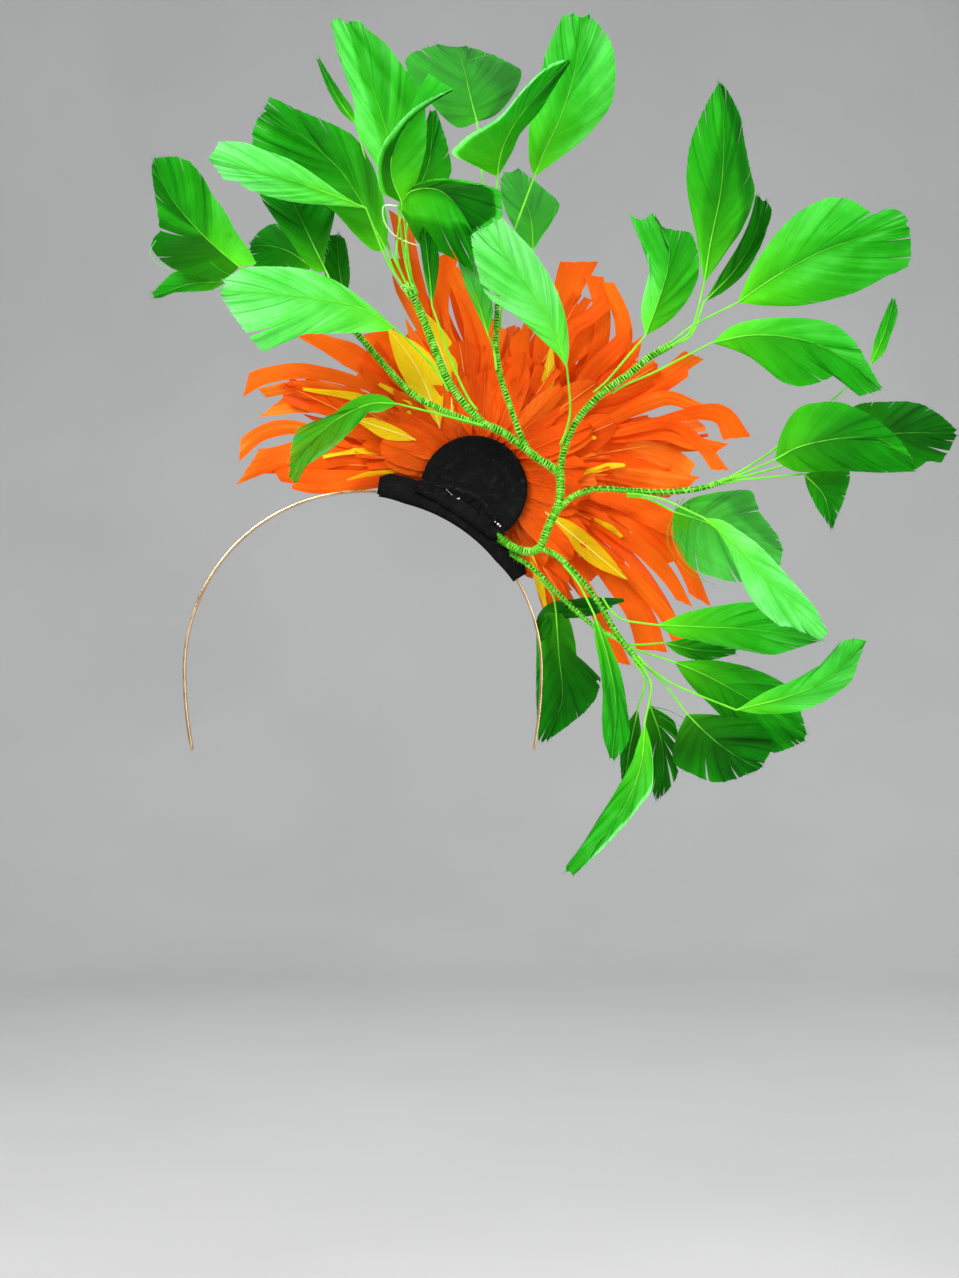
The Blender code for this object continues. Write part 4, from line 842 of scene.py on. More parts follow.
def green_feather(name, row, root, way, across):
    rng = np.random.default_rng(700 + int(name))
    piece = Piece()
    shaft = Line(smooth(row["shaft"]))
    tips, drifts = [], []
    sides = {}
    for key, sign, fold in (("left", 1, row["fold"][0]), ("right", -1, row["fold"][1])):
        edge = Line(smooth(row[key]))
        sides[key] = edge
    # each half's extra tone is painted light: negative values paint shade on a half folded away from the light,
    # positive values paint light on a half that faces it
    for key, fold, shade in (("left", row["fold"][0], row.get("dark", (0, 0))[0]),
                             ("right", row["fold"][1], row.get("dark", (0, 0))[1])):
        edge = sides[key]
        bounds = [(s, j, g) for side, s, j, g in row.get("cuts", ()) if side == key[0]]
        taken = [b[0] for b in bounds]
        for _ in range(5):
            s = rng.uniform(0.15, 0.85)
            if all(abs(s - t) > 0.07 for t in taken):
                taken.append(s)
                bounds.append((s, rng.uniform(0.62, 0.88), rng.uniform(0.5, 1.6)))
        phase = rng.uniform(0, 6.28, 3)
        waves = (rng.uniform(0.7, 1.4), rng.uniform(1.8, 3.2), rng.uniform(4, 7))
        columns = int(np.clip(shaft.long * 1.15, 60, 190))
        side = key[0]
        lip = row.get("lip", {}).get(side, 0.0)
        cup = row.get("cup", 0.22)
        # pleats run along the barbs: a slow and a quick wave over the places along the rachis, and a few creases
        grid = np.linspace(0, 1, 400)
        slow, quick = noise1(400, int(rng.integers(7, 11)), rng), noise1(400, int(rng.integers(22, 30)), rng)
        crease = np.zeros(400)
        for _ in range(int(rng.integers(2, 5))):
            crease += np.exp(-((grid - rng.uniform(0.08, 0.85)) / rng.uniform(0.006, 0.014)) ** 2)
        for P, along, f, s in barbs(shaft, edge, bounds, columns, 12 if lip else 9, row.get("sweep", 2.9), rng, ragged=0.018, lip=lip):
            mid = shaft.at(along)
            d = np.linalg.norm(P - mid, axis=-1) * UNIT
            wide = np.maximum(np.linalg.norm(P[:, -1] - mid[:, -1], axis=-1), 4)[:, None] * UNIT
            share = np.clip(d / (34 * UNIT), 0, 1.6)
            y = bow_depth(row, along) + fold * d + cup * np.sign(fold if fold else 1) * wide * f ** 2.2
            wave = sum(a * np.sin(6.28 * w * along + p) for a, w, p in zip((1.0, 0.55, 0.22), waves, phase))
            y = y + 0.0012 * share * wave
            sl, qk, cr = (np.interp(s, grid, c)[:, None] for c in (slow, quick, crease))
            swell = np.sin(np.clip(f, 0, 1) * math.pi * 0.62)
            y = y + (0.0014 * sl + 0.00055 * qk - 0.00050 * cr) * swell * np.clip(wide / (20 * UNIT), 0.3, 1.3)
            y = y + (rng.uniform(-1, 1) * 0.0007 + 0.00012 * rng.normal(size=len(s)))[:, None] * f ** 1.5
            if lip:
                over = np.clip((f - 0.80) / 0.20, 0, 1)
                y = y - lip * UNIT * (0.9 * over)
            world = places(P, y)
            n, m = P.shape[:2]
            uv = np.stack([np.broadcast_to((s * shaft.long * UNIT * 10)[:, None], (n, m)) + (0.0 if key == "left" else 5.0)
                           + int(name) * 0.37, f * 0.35 + int(name)], axis=-1)
            # the tone follows the pleats: painted light and shade along them, painted shade in the creases; it is also
            # darker towards the rachis and lighter at the barb ends
            tone = (row["tone"] + shade + (0.080 * sl + 0.036 * qk) * (0.35 + 0.65 * swell) - 0.14 * cr * swell
                    - 0.10 * (1 - f) ** 3 + 0.07 * f ** 8)
            # painted light and shade: bands across the vane between two places along the rachis, and bands along the
            # barbs for lit rims, curls and shaded folds
            for where, a, b, amount in row.get("paint", ()):
                if where == side:
                    tone = tone + amount * ease((s - a + 0.03) / 0.06)[:, None] * ease((b - s + 0.03) / 0.06)[:, None]
            for where, a, b, amount in row.get("rib", ()):
                if where == side:
                    tone = tone + amount * ease((f - a + 0.08) / 0.16) * ease((b - f + 0.08) / 0.16)
            # painted highlight on the folded lip
            if lip:
                tone = tone + row.get("lip_tone", 0.45) * ease((f - 0.86) / 0.05)
            piece.add(world, [grid_faces(n, m)], 0, uv, np.clip(tone, 0, 1), along)
            tips.append(world[:, -1])
            drifts.append((world[:, -1] - world[:, -3]) / np.maximum(np.linalg.norm(world[:, -1] - world[:, -3], axis=1, keepdims=True), 1e-6))
    # loose barbs at the edges
    ends, outs = np.vstack(tips), np.vstack(drifts)
    pick = rng.integers(0, len(ends), 70)
    outs = outs[pick] + rng.normal(size=(70, 3)) * 0.22
    outs /= np.linalg.norm(outs, axis=1, keepdims=True)
    verts, faces = hairs(ends[pick] - outs * 0.0008, outs, rng.uniform(0.0012, 0.0030, 70), 0.35, 0.00006, rng, steps=4)
    piece.add(verts, faces, 0, None, min(1.0, row["tone"] + 0.15), 0.8)
    # quill and rachis
    b = place(*row["shaft"][0], row["y"][0] / 1000)
    gap = (b - root).length
    lead = root + (way * 0.6 + across * 0.15 + (b - root).normalized() * 0.4).normalized() * gap * 0.35
    back = root - way * 0.007 - across * 0.0004
    quill = np.array([tuple(p) for p in through((back, root, lead, b), 26)])
    t = np.linspace(0, 0.985, 30)
    line = places(shaft.at(t), bow_depth(row, t) - 0.00008)
    whole = np.vstack([quill[:-1], line])
    radius = np.concatenate([np.linspace(0.00054, 0.00044, len(quill) - 1), 0.00037 * (1 - t) ** 1.5 + 0.00006])
    verts, faces = tube(whole, radius, 7)
    tones = np.concatenate([0.80 - 0.0 * np.arange(len(quill) - 1), (0.80 - row["tone"] * 0.70) * (1 - t) ** 2.6 + row["tone"] * 0.70])
    tones = np.concatenate([np.repeat(tones, 7), tones[:1], tones[-1:]])
    piece.add(verts, faces, 1, None, np.clip(tones, 0, 1))
    return piece.build("green_plume_" + name, [green_thin if row.get("thin") else green_vane, green_quill],
                       "green_feather_" + name)


roots = quill_roots()
for name, row in GREEN.items():
    green_feather(name, row, *roots[name])

# long loose barbs: elevation points, depths in mm at both ends
LOOPS = (
    (((676, 512), (672, 534), (680, 556), (699, 574), (726, 583)), (-18, -12)), (((680, 506), (668, 528), (671, 552), (690, 573), (716, 585)), (-19, -12)),
    (((686, 503), (677, 530), (687, 552), (706, 570), (735, 578)), (-18, -14)), (((678, 500), (673, 522), (679, 545), (690, 560), (712, 575)), (-20, -15)),
    (((690, 505), (682, 528), (692, 548), (712, 563), (738, 572)), (-17, -12)), (((684, 498), (674, 516), (675, 540), (684, 560), (704, 579)), (-19, -13)),
    (((698, 510), (690, 532), (700, 552), (722, 566)), (-19, -14)), (((702, 520), (697, 540), (708, 556), (730, 567)), (-18, -13)),
    (((650, 706), (668, 716), (686, 733), (702, 758)), (-12, -10)), (((650, 706), (672, 712), (694, 727), (706, 748)), (-12, -9)),
    (((652, 712), (672, 724), (686, 744), (691, 768)), (-11, -8)), (((656, 724), (676, 738), (684, 756), (682, 776)), (-10, -8)),
    (((210, 262), (228, 274), (252, 276), (262, 266)), (-30, -31)), (((156, 240), (150, 252), (156, 262), (170, 270)), (-35, -33)),
    (((534, 250), (542, 236), (552, 222), (556, 206)), (0, 8)),
    (((470, 60), (490, 56), (512, 66), (524, 80)), (18, 20)),
)
loose = Piece()
loop_rng = np.random.default_rng(17)
for points, depths in LOOPS:
    line = Line(smooth(points))
    t = np.linspace(0, 1, 40)
    verts, faces = tube(places(line.at(t), np.linspace(depths[0], depths[1], 40) / 1000), 0.00020 - 0.00011 * t, 5)
    loose.add(verts, faces, 0, None, loop_rng.uniform(0.55, 0.85))
loose.build("loose_barbs", [green_vane], None)

# ---------------------------------------------------------------- orange burst
hub = np.array(tuple(place(HUB_U, HUB_V, HUB_Y)))


def leaning(degrees, lean):
    a, e = math.radians(degrees), math.radians(lean)
    return np.array([math.cos(a) * math.cos(e), math.sin(e), math.sin(a) * math.cos(e)])


def hub_feather(piece, degrees, lean, reach, half, groups, rng, start=0.10, bend=0.0, arc=0.0, twist=0.0,
                tone=0.62, mats=(0, 1), sweep=2.6, split=True, off=(0, 0, 0), tip=0.35, pinch=0.0):
    """A feather that leaves the hub: degrees round it, leaning towards the front; its vane cut into strips."""
    way = leaning(degrees, lean)
    across = np.cross([0.0, 1.0, 0.0], way)
    across /= np.linalg.norm(across)
    flat = np.cross(way, across)
    ct, st = math.cos(twist), math.sin(twist)
    across, flat = across * ct + flat * st, flat * ct - across * st
    base = hub + np.array(off)
    t = np.linspace(0, 1, 30)
    axis = np.stack([reach * t, bend * reach * t ** 2], axis=-1)
    inner = axis[t >= start]
    shaft = Line(np.vstack([[reach * start, bend * reach * start ** 2], inner]))

    def world(P, h):
        return (base + way * (P[..., 0] * UNIT)[..., None] + across * (P[..., 1] * UNIT)[..., None]
                + flat * h[..., None])

    def lift(x):
        return arc * reach * UNIT * (x / reach) ** 2

    for side in (1, -1):
        u = np.linspace(0, 1, 24)
        prof = np.sin(np.pi / 2 * np.clip(u / 0.45, 0, 1)) ** 0.9
        prof = np.where(u > 0.6, prof * (tip + (1 - tip) * np.sqrt(np.clip(1 - ((u - 0.6) / 0.4) ** 2.2, 0, 1))), prof)
        prof[0] = 0.05
        x = reach * (start + (1 - start) * u)
        ymid = bend * reach * (x / reach) ** 2
        edge = np.stack([x, ymid + side * half * prof * rng.uniform(0.85, 1.1)], axis=-1)
        edge = Line(np.vstack([edge, shaft.p[-1:] + [[0.5, side * 0.3]]]))
        bounds = []
        if split:
            at = 0.02
            while at < 0.90:
                at += rng.uniform(0.7, 1.25) / groups
                if at < 0.93:
                    bounds.append((at, rng.uniform(0.10, 0.40), rng.uniform(0.5, 2.0) if pinch else rng.uniform(3.0, 8.0)))
        for P, along, f, s in barbs(shaft, edge, bounds, 62 if split else 46, 7, sweep, rng, ragged=0.015,
                                    gape=0.45 / groups, bow=0.12 if split else 0.07, taper=rng.uniform(0.0, 0.25) if split else 0.0,
                                    pinch=pinch if split else 0.0):
            n, m = P.shape[:2]
            d = np.abs(P[..., 1] - bend * reach * (P[..., 0] / reach) ** 2) * UNIT
            h = lift(P[..., 0]) + 0.18 * d * (1 if flat[1] < 0 else 1)
            roll = (s - s.mean())[:, None] * reach * UNIT * rng.uniform(-0.55, 0.55)
            h = h + (rng.uniform(-1, 1) * 0.0022 * f ** 1.5 + roll * f) * (1.0 if split else 0.3)
            h = h + 0.00010 * rng.normal(size=len(s))[:, None] * f
            uv = np.stack([np.broadcast_to((s * reach * UNIT * 10)[:, None], (n, m)) + rng.uniform(0, 9), f * 0.35], axis=-1)
            shade = tone + rng.uniform(-0.16, 0.16) + 0.05 * rng.normal(size=n)[:, None] - 0.12 * (1 - f) ** 2
            piece.add(world(P, h), [grid_faces(n, m)], mats[0], uv, np.clip(shade, 0, 1), along)
    t = np.linspace(0.02, 0.985, 20)
    P = np.stack([reach * t, bend * reach * t ** 2], axis=-1)
    line = world(P, lift(P[:, 0]) - 0.0001)
    verts, faces = tube(line, 0.00042 * (1 - t) ** 0.7 + 0.00012, 6)
    piece.add(verts, faces, mats[1], None, 0.6)


REAR_LEANS = (-5.0, 8.0)
# direction, reach and half width of the rear tier, as the solid has them, and the bend of each shaft
REAR_TIER = (
    (177.0, 246, 17, 0.03), (166.0, 214, 15, -0.02), (157.5, 254, 14, 0.03), (146.0, 196, 16, -0.03), (134.0, 196, 17, 0.04),
    (121.0, 196, 16, 0.0), (109.5, 268, 12, -0.02), (98.0, 230, 17, 0.03), (86.0, 176, 15, -0.02), (75.0, 178, 14, 0.03),
    (62.0, 238, 24, 0.02), (47.0, 210, 18, -0.03), (33.0, 240, 15, 0.03), (22.0, 226, 13, -0.03), (10.0, 266, 16, 0.02),
    (-1.0, 236, 17, -0.03), (-12.0, 208, 16, 0.03), (-24.0, 268, 16, 0.0), (-34.0, 262, 17, -0.03), (-46.0, 246, 18, 0.03),
    (-57.0, 228, 13, 0.0),
)
FRONT_TIERS = (
    (27.0, 13, 168.0, -52.0, 205, 21),
    (50.0, 10, 156.0, -48.0, 190, 22),
    (74.0, 6, 160.0, -58.0, 165, 22),
)
rng = np.random.default_rng(41)
rear = Piece()
for i, (deg, reach, half, bend) in enumerate(REAR_TIER):
    lean = REAR_LEANS[i % 2]
    short = 0.88 if deg > -8 else 0.66
    half = half * (0.6 if deg > 170 else 1.0)
    hub_feather(rear, deg, lean, short * reach * (1 + reach * UNIT * math.sin(math.radians(lean)) / SIGHT), half * 1.75, 4.4, rng,
                bend=bend, arc=rng.uniform(-0.02, 0.05), twist=rng.uniform(-0.2, 0.2), tone=rng.uniform(0.35, 0.75), pinch=0.32)
for k in range(26):
    deg = 172 - k * 228 / 25 + rng.uniform(-3, 3)
    hub_feather(rear, deg, rng.uniform(-9, -4), rng.uniform(105, 150), rng.uniform(18, 26), 4.0, rng, bend=rng.uniform(-0.06, 0.06),
                arc=rng.uniform(0.0, 0.06), twist=rng.uniform(-0.12, 0.12), tone=rng.uniform(0.40, 0.72), split=k % 3 != 2,
                off=(0, -0.004, 0), pinch=0.22, tip=0.15)

# strips cut free of the outer vanes: centre line on the elevation from foot to end, width at foot, middle and end,
# depth in mm at foot and end, how light, and how far the end is cut on the slant
STRIPS = (
    (((392, 397), (362, 384), (325, 374), (294, 371), (262, 377), (246, 385)), (8, 12, 13), (9, 2), 0.62, 0.5),
    (((380, 402), (345, 392), (303, 386), (262, 393)), (8, 10, 9), (10, 5), 0.72, -0.3),
    (((384, 412), (340, 401), (300, 401), (274, 405)), (9, 20, 15), (12, 10), 0.88, 0.9),
    (((350, 446), (318, 434), (290, 427), (262, 433), (240, 450)), (8, 12, 13), (8, 1), 0.66, 0.5),
    (((352, 452), (318, 446), (285, 455), (248, 467)), (12, 17, 20), (9, 3), 0.70, 0.6),
    (((384, 462), (345, 455), (300, 459), (258, 462)), (16, 22, 18), (11, 6), 0.62, 0.4),
    (((386, 476), (350, 478), (310, 478), (274, 472)), (10, 14, 12), (9, 6), 0.60, -0.5),
    (((388, 480), (350, 486), (318, 489), (292, 486)), (10, 9, 5), (7, 4), 0.55, 0.0),
    (((412, 396), (380, 374), (345, 352), (306, 334)), (14, 19, 9), (12, 9), 0.58, 0.5),
    (((424, 398), (404, 370), (388, 348), (376, 332)), (12, 18, 24), (10, 8), 0.66, 0.2),
    (((436, 372), (424, 318), (412, 270), (400, 217)), (10, 14, 15), (12, 15), 0.50, 0.5),
    (((448, 380), (434, 330), (418, 290), (398, 259)), (9, 11, 11), (10, 9), 0.55, 0.4),
    (((462, 392), (448, 345), (440, 300), (448, 252)), (10, 13, 17), (14, 13), 0.52, -0.4),
    (((474, 388), (474, 340), (464, 300), (450, 266)), (10, 11, 12), (9, 8), 0.60, 0.3),
    (((482, 392), (488, 352), (480, 318), (462, 290)), (10, 12, 10), (8, 6), 0.66, 0.3),
    (((556, 428), (568, 384), (565, 338), (565, 300), (579, 262)), (8, 17, 27), (15, 13), 0.45, -0.2),
    (((560, 426), (583, 382), (600, 344), (602, 310), (594, 276)), (8, 13, 14), (13, 10), 0.50, 0.2),
    (((566, 424), (596, 384), (621, 350), (622, 318), (606, 282)), (8, 13, 12), (11, 8), 0.56, 0.3),
    (((560, 372), (570, 332), (588, 318), (606, 302)), (8, 12, 13), (9, 6), 0.52, 0.0),
    (((566, 412), (590, 374), (612, 352), (630, 334)), (9, 15, 14), (8, 6), 0.60, 0.4),
    (((572, 416), (594, 392), (618, 366), (641, 346)), (10, 16, 10), (12, 10), 0.56, 0.6),
    (((584, 420), (622, 400), (660, 380), (694, 355)), (9, 12, 14), (13, 9), 0.58, -0.3),
    (((590, 424), (630, 406), (664, 387), (688, 371)), (8, 9, 8), (10, 7), 0.62, 0.3),
    (((596, 428), (636, 408), (668, 398), (700, 409)), (9, 13, 9), (9, 5), 0.66, 0.3),
    (((600, 432), (650, 424), (694, 413), (722, 415), (737, 438)), (7, 10, 19), (10, 3), 0.55, 0.2),
    (((610, 440), (660, 434), (690, 442), (721, 449)), (7, 11, 10), (8, 5), 0.60, 0.5),
    (((606, 436), (668, 424), (700, 444), (720, 470)), (6, 9, 11), (6, 2), 0.52, 0.4),
    (((604, 452), (650, 456), (690, 476)), (16, 26, 22), (13, 11), 0.88, 0.0),
    (((596, 470), (640, 478), (690, 486)), (12, 18, 16), (9, 7), 0.70, 0.4),
    (((590, 494), (622, 501), (650, 513), (684, 531)), (12, 19, 17), (7, 5), 0.58, 0.3),
    (((596, 500), (630, 520), (660, 545), (676, 560)), (10, 16, 12), (12, 10), 0.46, 0.2),
    (((604, 500), (640, 517), (671, 545), (690, 575), (700, 600)), (9, 11, 13), (10, 8), 0.50, 0.6),
    (((584, 508), (619, 534), (648, 554), (669, 578), (684, 603)), (10, 14, 8), (8, 6), 0.54, 0.7),
    (((588, 524), (618, 546), (640, 570), (660, 600), (676, 634)), (8, 10, 11), (11, 9), 0.48, 0.4),
    (((570, 530), (610, 575), (640, 615), (652, 651)), (12, 18, 23), (13, 10), 0.48, 0.2),
    (((576, 528), (624, 570), (662, 610), (687, 650)), (8, 11, 13), (9, 5), 0.55, 0.5),
    (((556, 532), (580, 580), (604, 622), (624, 664)), (9, 13, 9), (11, 8), 0.46, 0.4),
    (((536, 534), (546, 570), (554, 602), (558, 626)), (16, 22, 18), (13, 10), 0.44, 0.3),
)


def cut_strip(piece, row, rng):
    points, widths, depths, tone, slant = row
    line = Line(smooth(points))
    n, m = 34, 9
    t = np.linspace(0, 1, n)
    c = np.linspace(-0.5, 0.5, m)
    wide = 1.28 * np.interp(t, (0, 0.12, 0.6, 1), (widths[0] * 0.5, widths[0], widths[1], widths[2]))
    wide *= 1 + 0.07 * noise1(n, 5, rng)
    last = t[:, None] - slant * c[None] * (wide / line.long)[:, None] * ease((t - 0.6) / 0.4)[:, None] * 2
    mid, way = line.at(np.clip(last, 0, 1)), line.way(np.clip(last, 0.015, 0.985))
    side = np.stack([-way[..., 1], way[..., 0]], axis=-1)
    P = mid + side * (c[None] * wide[:, None])[..., None]
    over = last * line.long - np.clip(last, 0, 1) * line.long
    P = P + way * over[..., None]
    fray = rng.uniform(-0.8, 0.8, m)
    P[-1] += way[-1] * fray[:, None]
    y = (depths[0] + (depths[1] - depths[0]) * t)[:, None] / 1000
    turn = 0.6 * noise1(n, 3, rng)[:, None] + rng.uniform(-0.35, 0.35)
    y = y + c[None] * wide[:, None] * UNIT * turn + 0.3 * UNIT * wide[:, None] * c[None] ** 2
    y = y + 0.0010 * noise1(n, 4, rng)[:, None] * ease(t)[:, None]
    uv = np.stack([np.broadcast_to(c[None] * wide[:, None] * UNIT * 12, (n, m)) + rng.uniform(0, 9),
                   np.broadcast_to(t[:, None] * line.long * 0.004, (n, m))], axis=-1)
    shade = tone + 0.07 * rng.normal(size=m)[None] - 0.12 * (1 - t[:, None]) + 0.12 * noise1(n, 4, rng)[:, None]
    piece.add(places(P, y), [grid_faces(n, m)], 0, uv, np.clip(shade, 0, 1), 0.2 + 0.8 * t[:, None] + 0 * c[None])


for row in STRIPS:
    cut_strip(rear, row, rng)
curled = Piece()
cut_strip(curled, (((537, 630), (552, 610), (580, 606), (624, 600)), (10, 13, 3), (3, -2), 0.04, 0.0), np.random.default_rng(3))
cut_strip(curled, (((540, 640), (556, 616), (590, 612), (612, 606)), (8, 8, 2), (2, -4), 0.12, 0.0), np.random.default_rng(4))
curled.build("green_plume_40_curl", [green_vane], None)

# low collar of whole feathers behind the back plate
for k in range(34):
    deg = 168 - k * 214 / 33 + rng.uniform(-3, 3)
    hub_feather(rear, deg, rng.uniform(-3, 1), rng.uniform(88, 126), rng.uniform(11, 17), 3.4, rng, start=0.30, bend=rng.uniform(-0.08, 0.08),
                arc=rng.uniform(-0.05, 0.05), twist=rng.uniform(-0.1, 0.1), tone=rng.uniform(0.34, 0.66), split=False,
                off=(0, -0.0112, 0), tip=0.15, mats=(0, 0))
rear.build("orange_burst_rear", [orange_vane, orange_quill], "orange_feather_burst")
front = Piece()
for lean, count, first, last, reach, half in FRONT_TIERS:
    for k in range(count):
        deg = first + (last - first) * k / (count - 1)
        hub_feather(front, deg, lean, reach * (0.84 if deg < -8 else 1.0), half * 1.6, 4.0, rng,
                    bend=rng.uniform(-0.05, 0.05), arc=rng.uniform(-0.02, 0.05), twist=rng.uniform(-0.3, 0.3),
                    tone=rng.uniform(0.35, 0.8), pinch=0.25)
for k in range(12):
    hub_feather(front, 168 - k * 19 + rng.uniform(-5, 5), rng.uniform(38, 80), rng.uniform(95, 130), 20, 3.4, rng,
                arc=0.08, twist=rng.uniform(-0.4, 0.4), tone=rng.uniform(0.5, 0.8), split=k % 2 == 0)
front.build("orange_burst_front", [orange_vane, orange_quill], None)

# fine down round the foot of the burst
down = Piece()
count = 1700
ang = np.radians(rng.uniform(-46, 160, count))
lean = rng.uniform(-0.22, 0.04, count)
ways = np.stack([np.cos(ang), lean, np.sin(ang)], axis=-1)
ways += rng.normal(size=ways.shape) * 0.18
ways[:, 1] = np.maximum(ways[:, 1], -0.14)
ways /= np.linalg.norm(ways, axis=1, keepdims=True)
foot = np.array(tuple(place(DISC_U, DISC_V, 0.0030)))
starts = foot + np.stack([np.cos(ang), 0 * ang, np.sin(ang)], axis=-1) * rng.uniform(0.0170, 0.0235, count)[:, None]
starts[:, 1] += rng.uniform(0.0, 0.004, count)
verts, faces = hairs(starts, ways, rng.uniform(0.009, 0.019, count), 0.40, 0.00010, rng, steps=5)
down.add(verts, faces, 0, None, np.repeat(rng.uniform(0.3, 0.9, count), 15))
down.build("orange_down", [orange_down], None)

# ---------------------------------------------------------------- yellow feathers
YELLOW = {
    "01": dict(y=(3.0, 2.5, 1.0), shaft=((440, 428), (428, 392), (412, 360), (388, 329)),
               left=((440, 428), (424, 406), (408, 386), (395, 360), (387, 329)),
               right=((440, 428), (443, 405), (441, 374), (425, 349), (390, 328))),
    "02": dict(y=(4.5, 6.0, 6.0), shaft=((452, 418), (450, 380), (438, 345), (419, 309)),
               left=((452, 418), (441, 390), (434, 355), (424, 333), (418, 310)),
               right=((452, 418), (458, 385), (455, 350), (441, 327), (420, 308))),
    "03": dict(y=(2.6, 1.6, 0.0), shaft=((416, 440), (388, 430), (355, 419)),
               left=((416, 440), (402, 441), (382, 438), (355, 420)),
               right=((416, 440), (402, 430), (382, 421), (355, 417))),
    "04": dict(y=(9.0, 8.0, 5.0), shaft=((530, 450), (544, 408), (550, 348)),
               left=((530, 450), (534, 420), (541, 380), (549, 348)),
               right=((530, 450), (546, 420), (555, 378), (553, 348))),
    "05": dict(tone=0.14, y=(3.5, 3.0, 1.0), shaft=((545, 512), (585, 545), (627, 580)),
               left=((545, 512), (575, 524), (604, 549), (628, 579)),
               right=((545, 512), (566, 540), (592, 565), (626, 580))),
}
# slips of yellow that show between the orange ones: outline and depth as for the strips above
SLIPS = (
    (((420, 432), (396, 414), (360, 398), (303, 389)), (6, 9, 3), (4.5, 3.0), 0.6, 0.0),
    (((420, 436), (400, 424), (380, 424), (357, 420)), (6, 16, 4), (3.6, 2.4), 0.8, 0.0),
    (((436, 420), (412, 402), (394, 392), (379, 384)), (5, 7, 3), (3.0, 2.4), 0.6, 0.0),
    (((452, 440), (430, 438), (414, 424), (408, 411)), (6, 12, 3), (2.6, 2.2), 0.7, 0.0),
    (((392, 456), (366, 451), (345, 452), (323, 457)), (4, 6, 3), (5.0, 4.0), 0.7, 0.0),
    (((408, 470), (386, 472), (364, 475), (348, 480)), (3, 5, 2), (4.0, 3.2), 0.1, 0.0),
    (((544, 426), (546, 396), (549, 372), (551, 349)), (6, 11, 4), (6.0, 5.0), 0.6, 0.0),
    (((558, 446), (572, 441), (584, 437), (596, 438)), (5, 7, 3), (2.4, 2.0), 0.7, 0.0),
    (((580, 474), (596, 470), (610, 466), (625, 465)), (5, 7, 3), (2.6, 2.2), 0.7, 0.0),
    (((590, 517), (600, 522), (611, 528), (622, 537)), (3, 6, 3), (3.4, 2.6), 0.2, 0.0),
    (((530, 552), (536, 572), (541, 590), (546, 609)), (5, 8, 3), (4.4, 3.6), 0.6, 0.0),
    (((470, 424), (462, 392), (456, 366), (448, 340)), (4, 6, 3), (5.0, 4.5), 0.5, 0.0),
)
slips = Piece()
rng = np.random.default_rng(88)
for points, widths, depths, tone, slant in SLIPS:
    cut_strip(slips, (points, tuple(w * 0.8 for w in widths), (depths[0] + 3.5, depths[1] + 3.0), tone, slant), rng)
slips.build("yellow_slips", [yellow_vane], None)
for name, row in YELLOW.items():
    rng = np.random.default_rng(90 + int(name))
    piece = Piece()
    shaft = Line(smooth(row["shaft"]))
    for key in ("left", "right"):
        edge = Line(smooth(row[key]))
        for P, along, f, s in barbs(shaft, edge, [(0.6, 0.8, 1.0)], 55, 7, 2.2, rng, ragged=0.02):
            d = np.linalg.norm(P - shaft.at(along), axis=-1) * UNIT
            y = bow_depth(row, along) - 0.0010 + 0.15 * d + 0.0001 * rng.normal(size=len(s))[:, None] * f
            n, m = P.shape[:2]
            uv = np.stack([np.broadcast_to((s * 0.5)[:, None], (n, m)) + int(name), f * 0.3], axis=-1)
            piece.add(places(P, y), [grid_faces(n, m)], 0, uv, row.get("tone", 0.56) + 0.05 * rng.normal(size=n)[:, None] + 0 * f, along)
    t = np.linspace(0, 0.98, 24)
    verts, faces = tube(places(shaft.at(t), bow_depth(row, t) - 0.0011), 0.00036 * (1 - t) ** 0.7 + 0.0001, 6)
    piece.add(verts, faces, 1, None, 0.6)
    piece.build("yellow_plume_" + name, [yellow_vane, yellow_quill], "yellow_feather_" + name)

# ---------------------------------------------------------------- thread-wrapped stems
# thread: (from, to, turns per mm) spans of tight binding; the rest is a looser lay
STEMS = {
    "trunk": (1.35, ()), "left": (1.35, ()), "spray_a": (1.30, ()), "spray_b": (1.35, ()), "spray_c": (1.25, ()),
    "spray_d": (1.25, ()), "spray_e": (0.55, ((0.0, 0.16, 1.5), (0.40, 0.47, 1.5), (0.86, 1.0, 1.5))),
    "spray_f": (0.9, ((0.0, 0.2, 1.4), (0.8, 1.0, 1.5))), "lower": (0.8, ((0.0, 0.2, 1.3), (0.85, 1.0, 1.4))),
}


# the first few millimetres of two stems, glued in under the felt
LEAD_IN = {"trunk": ((494, 532, -4.5),), "lower": ((507, 551, -1.5),)}


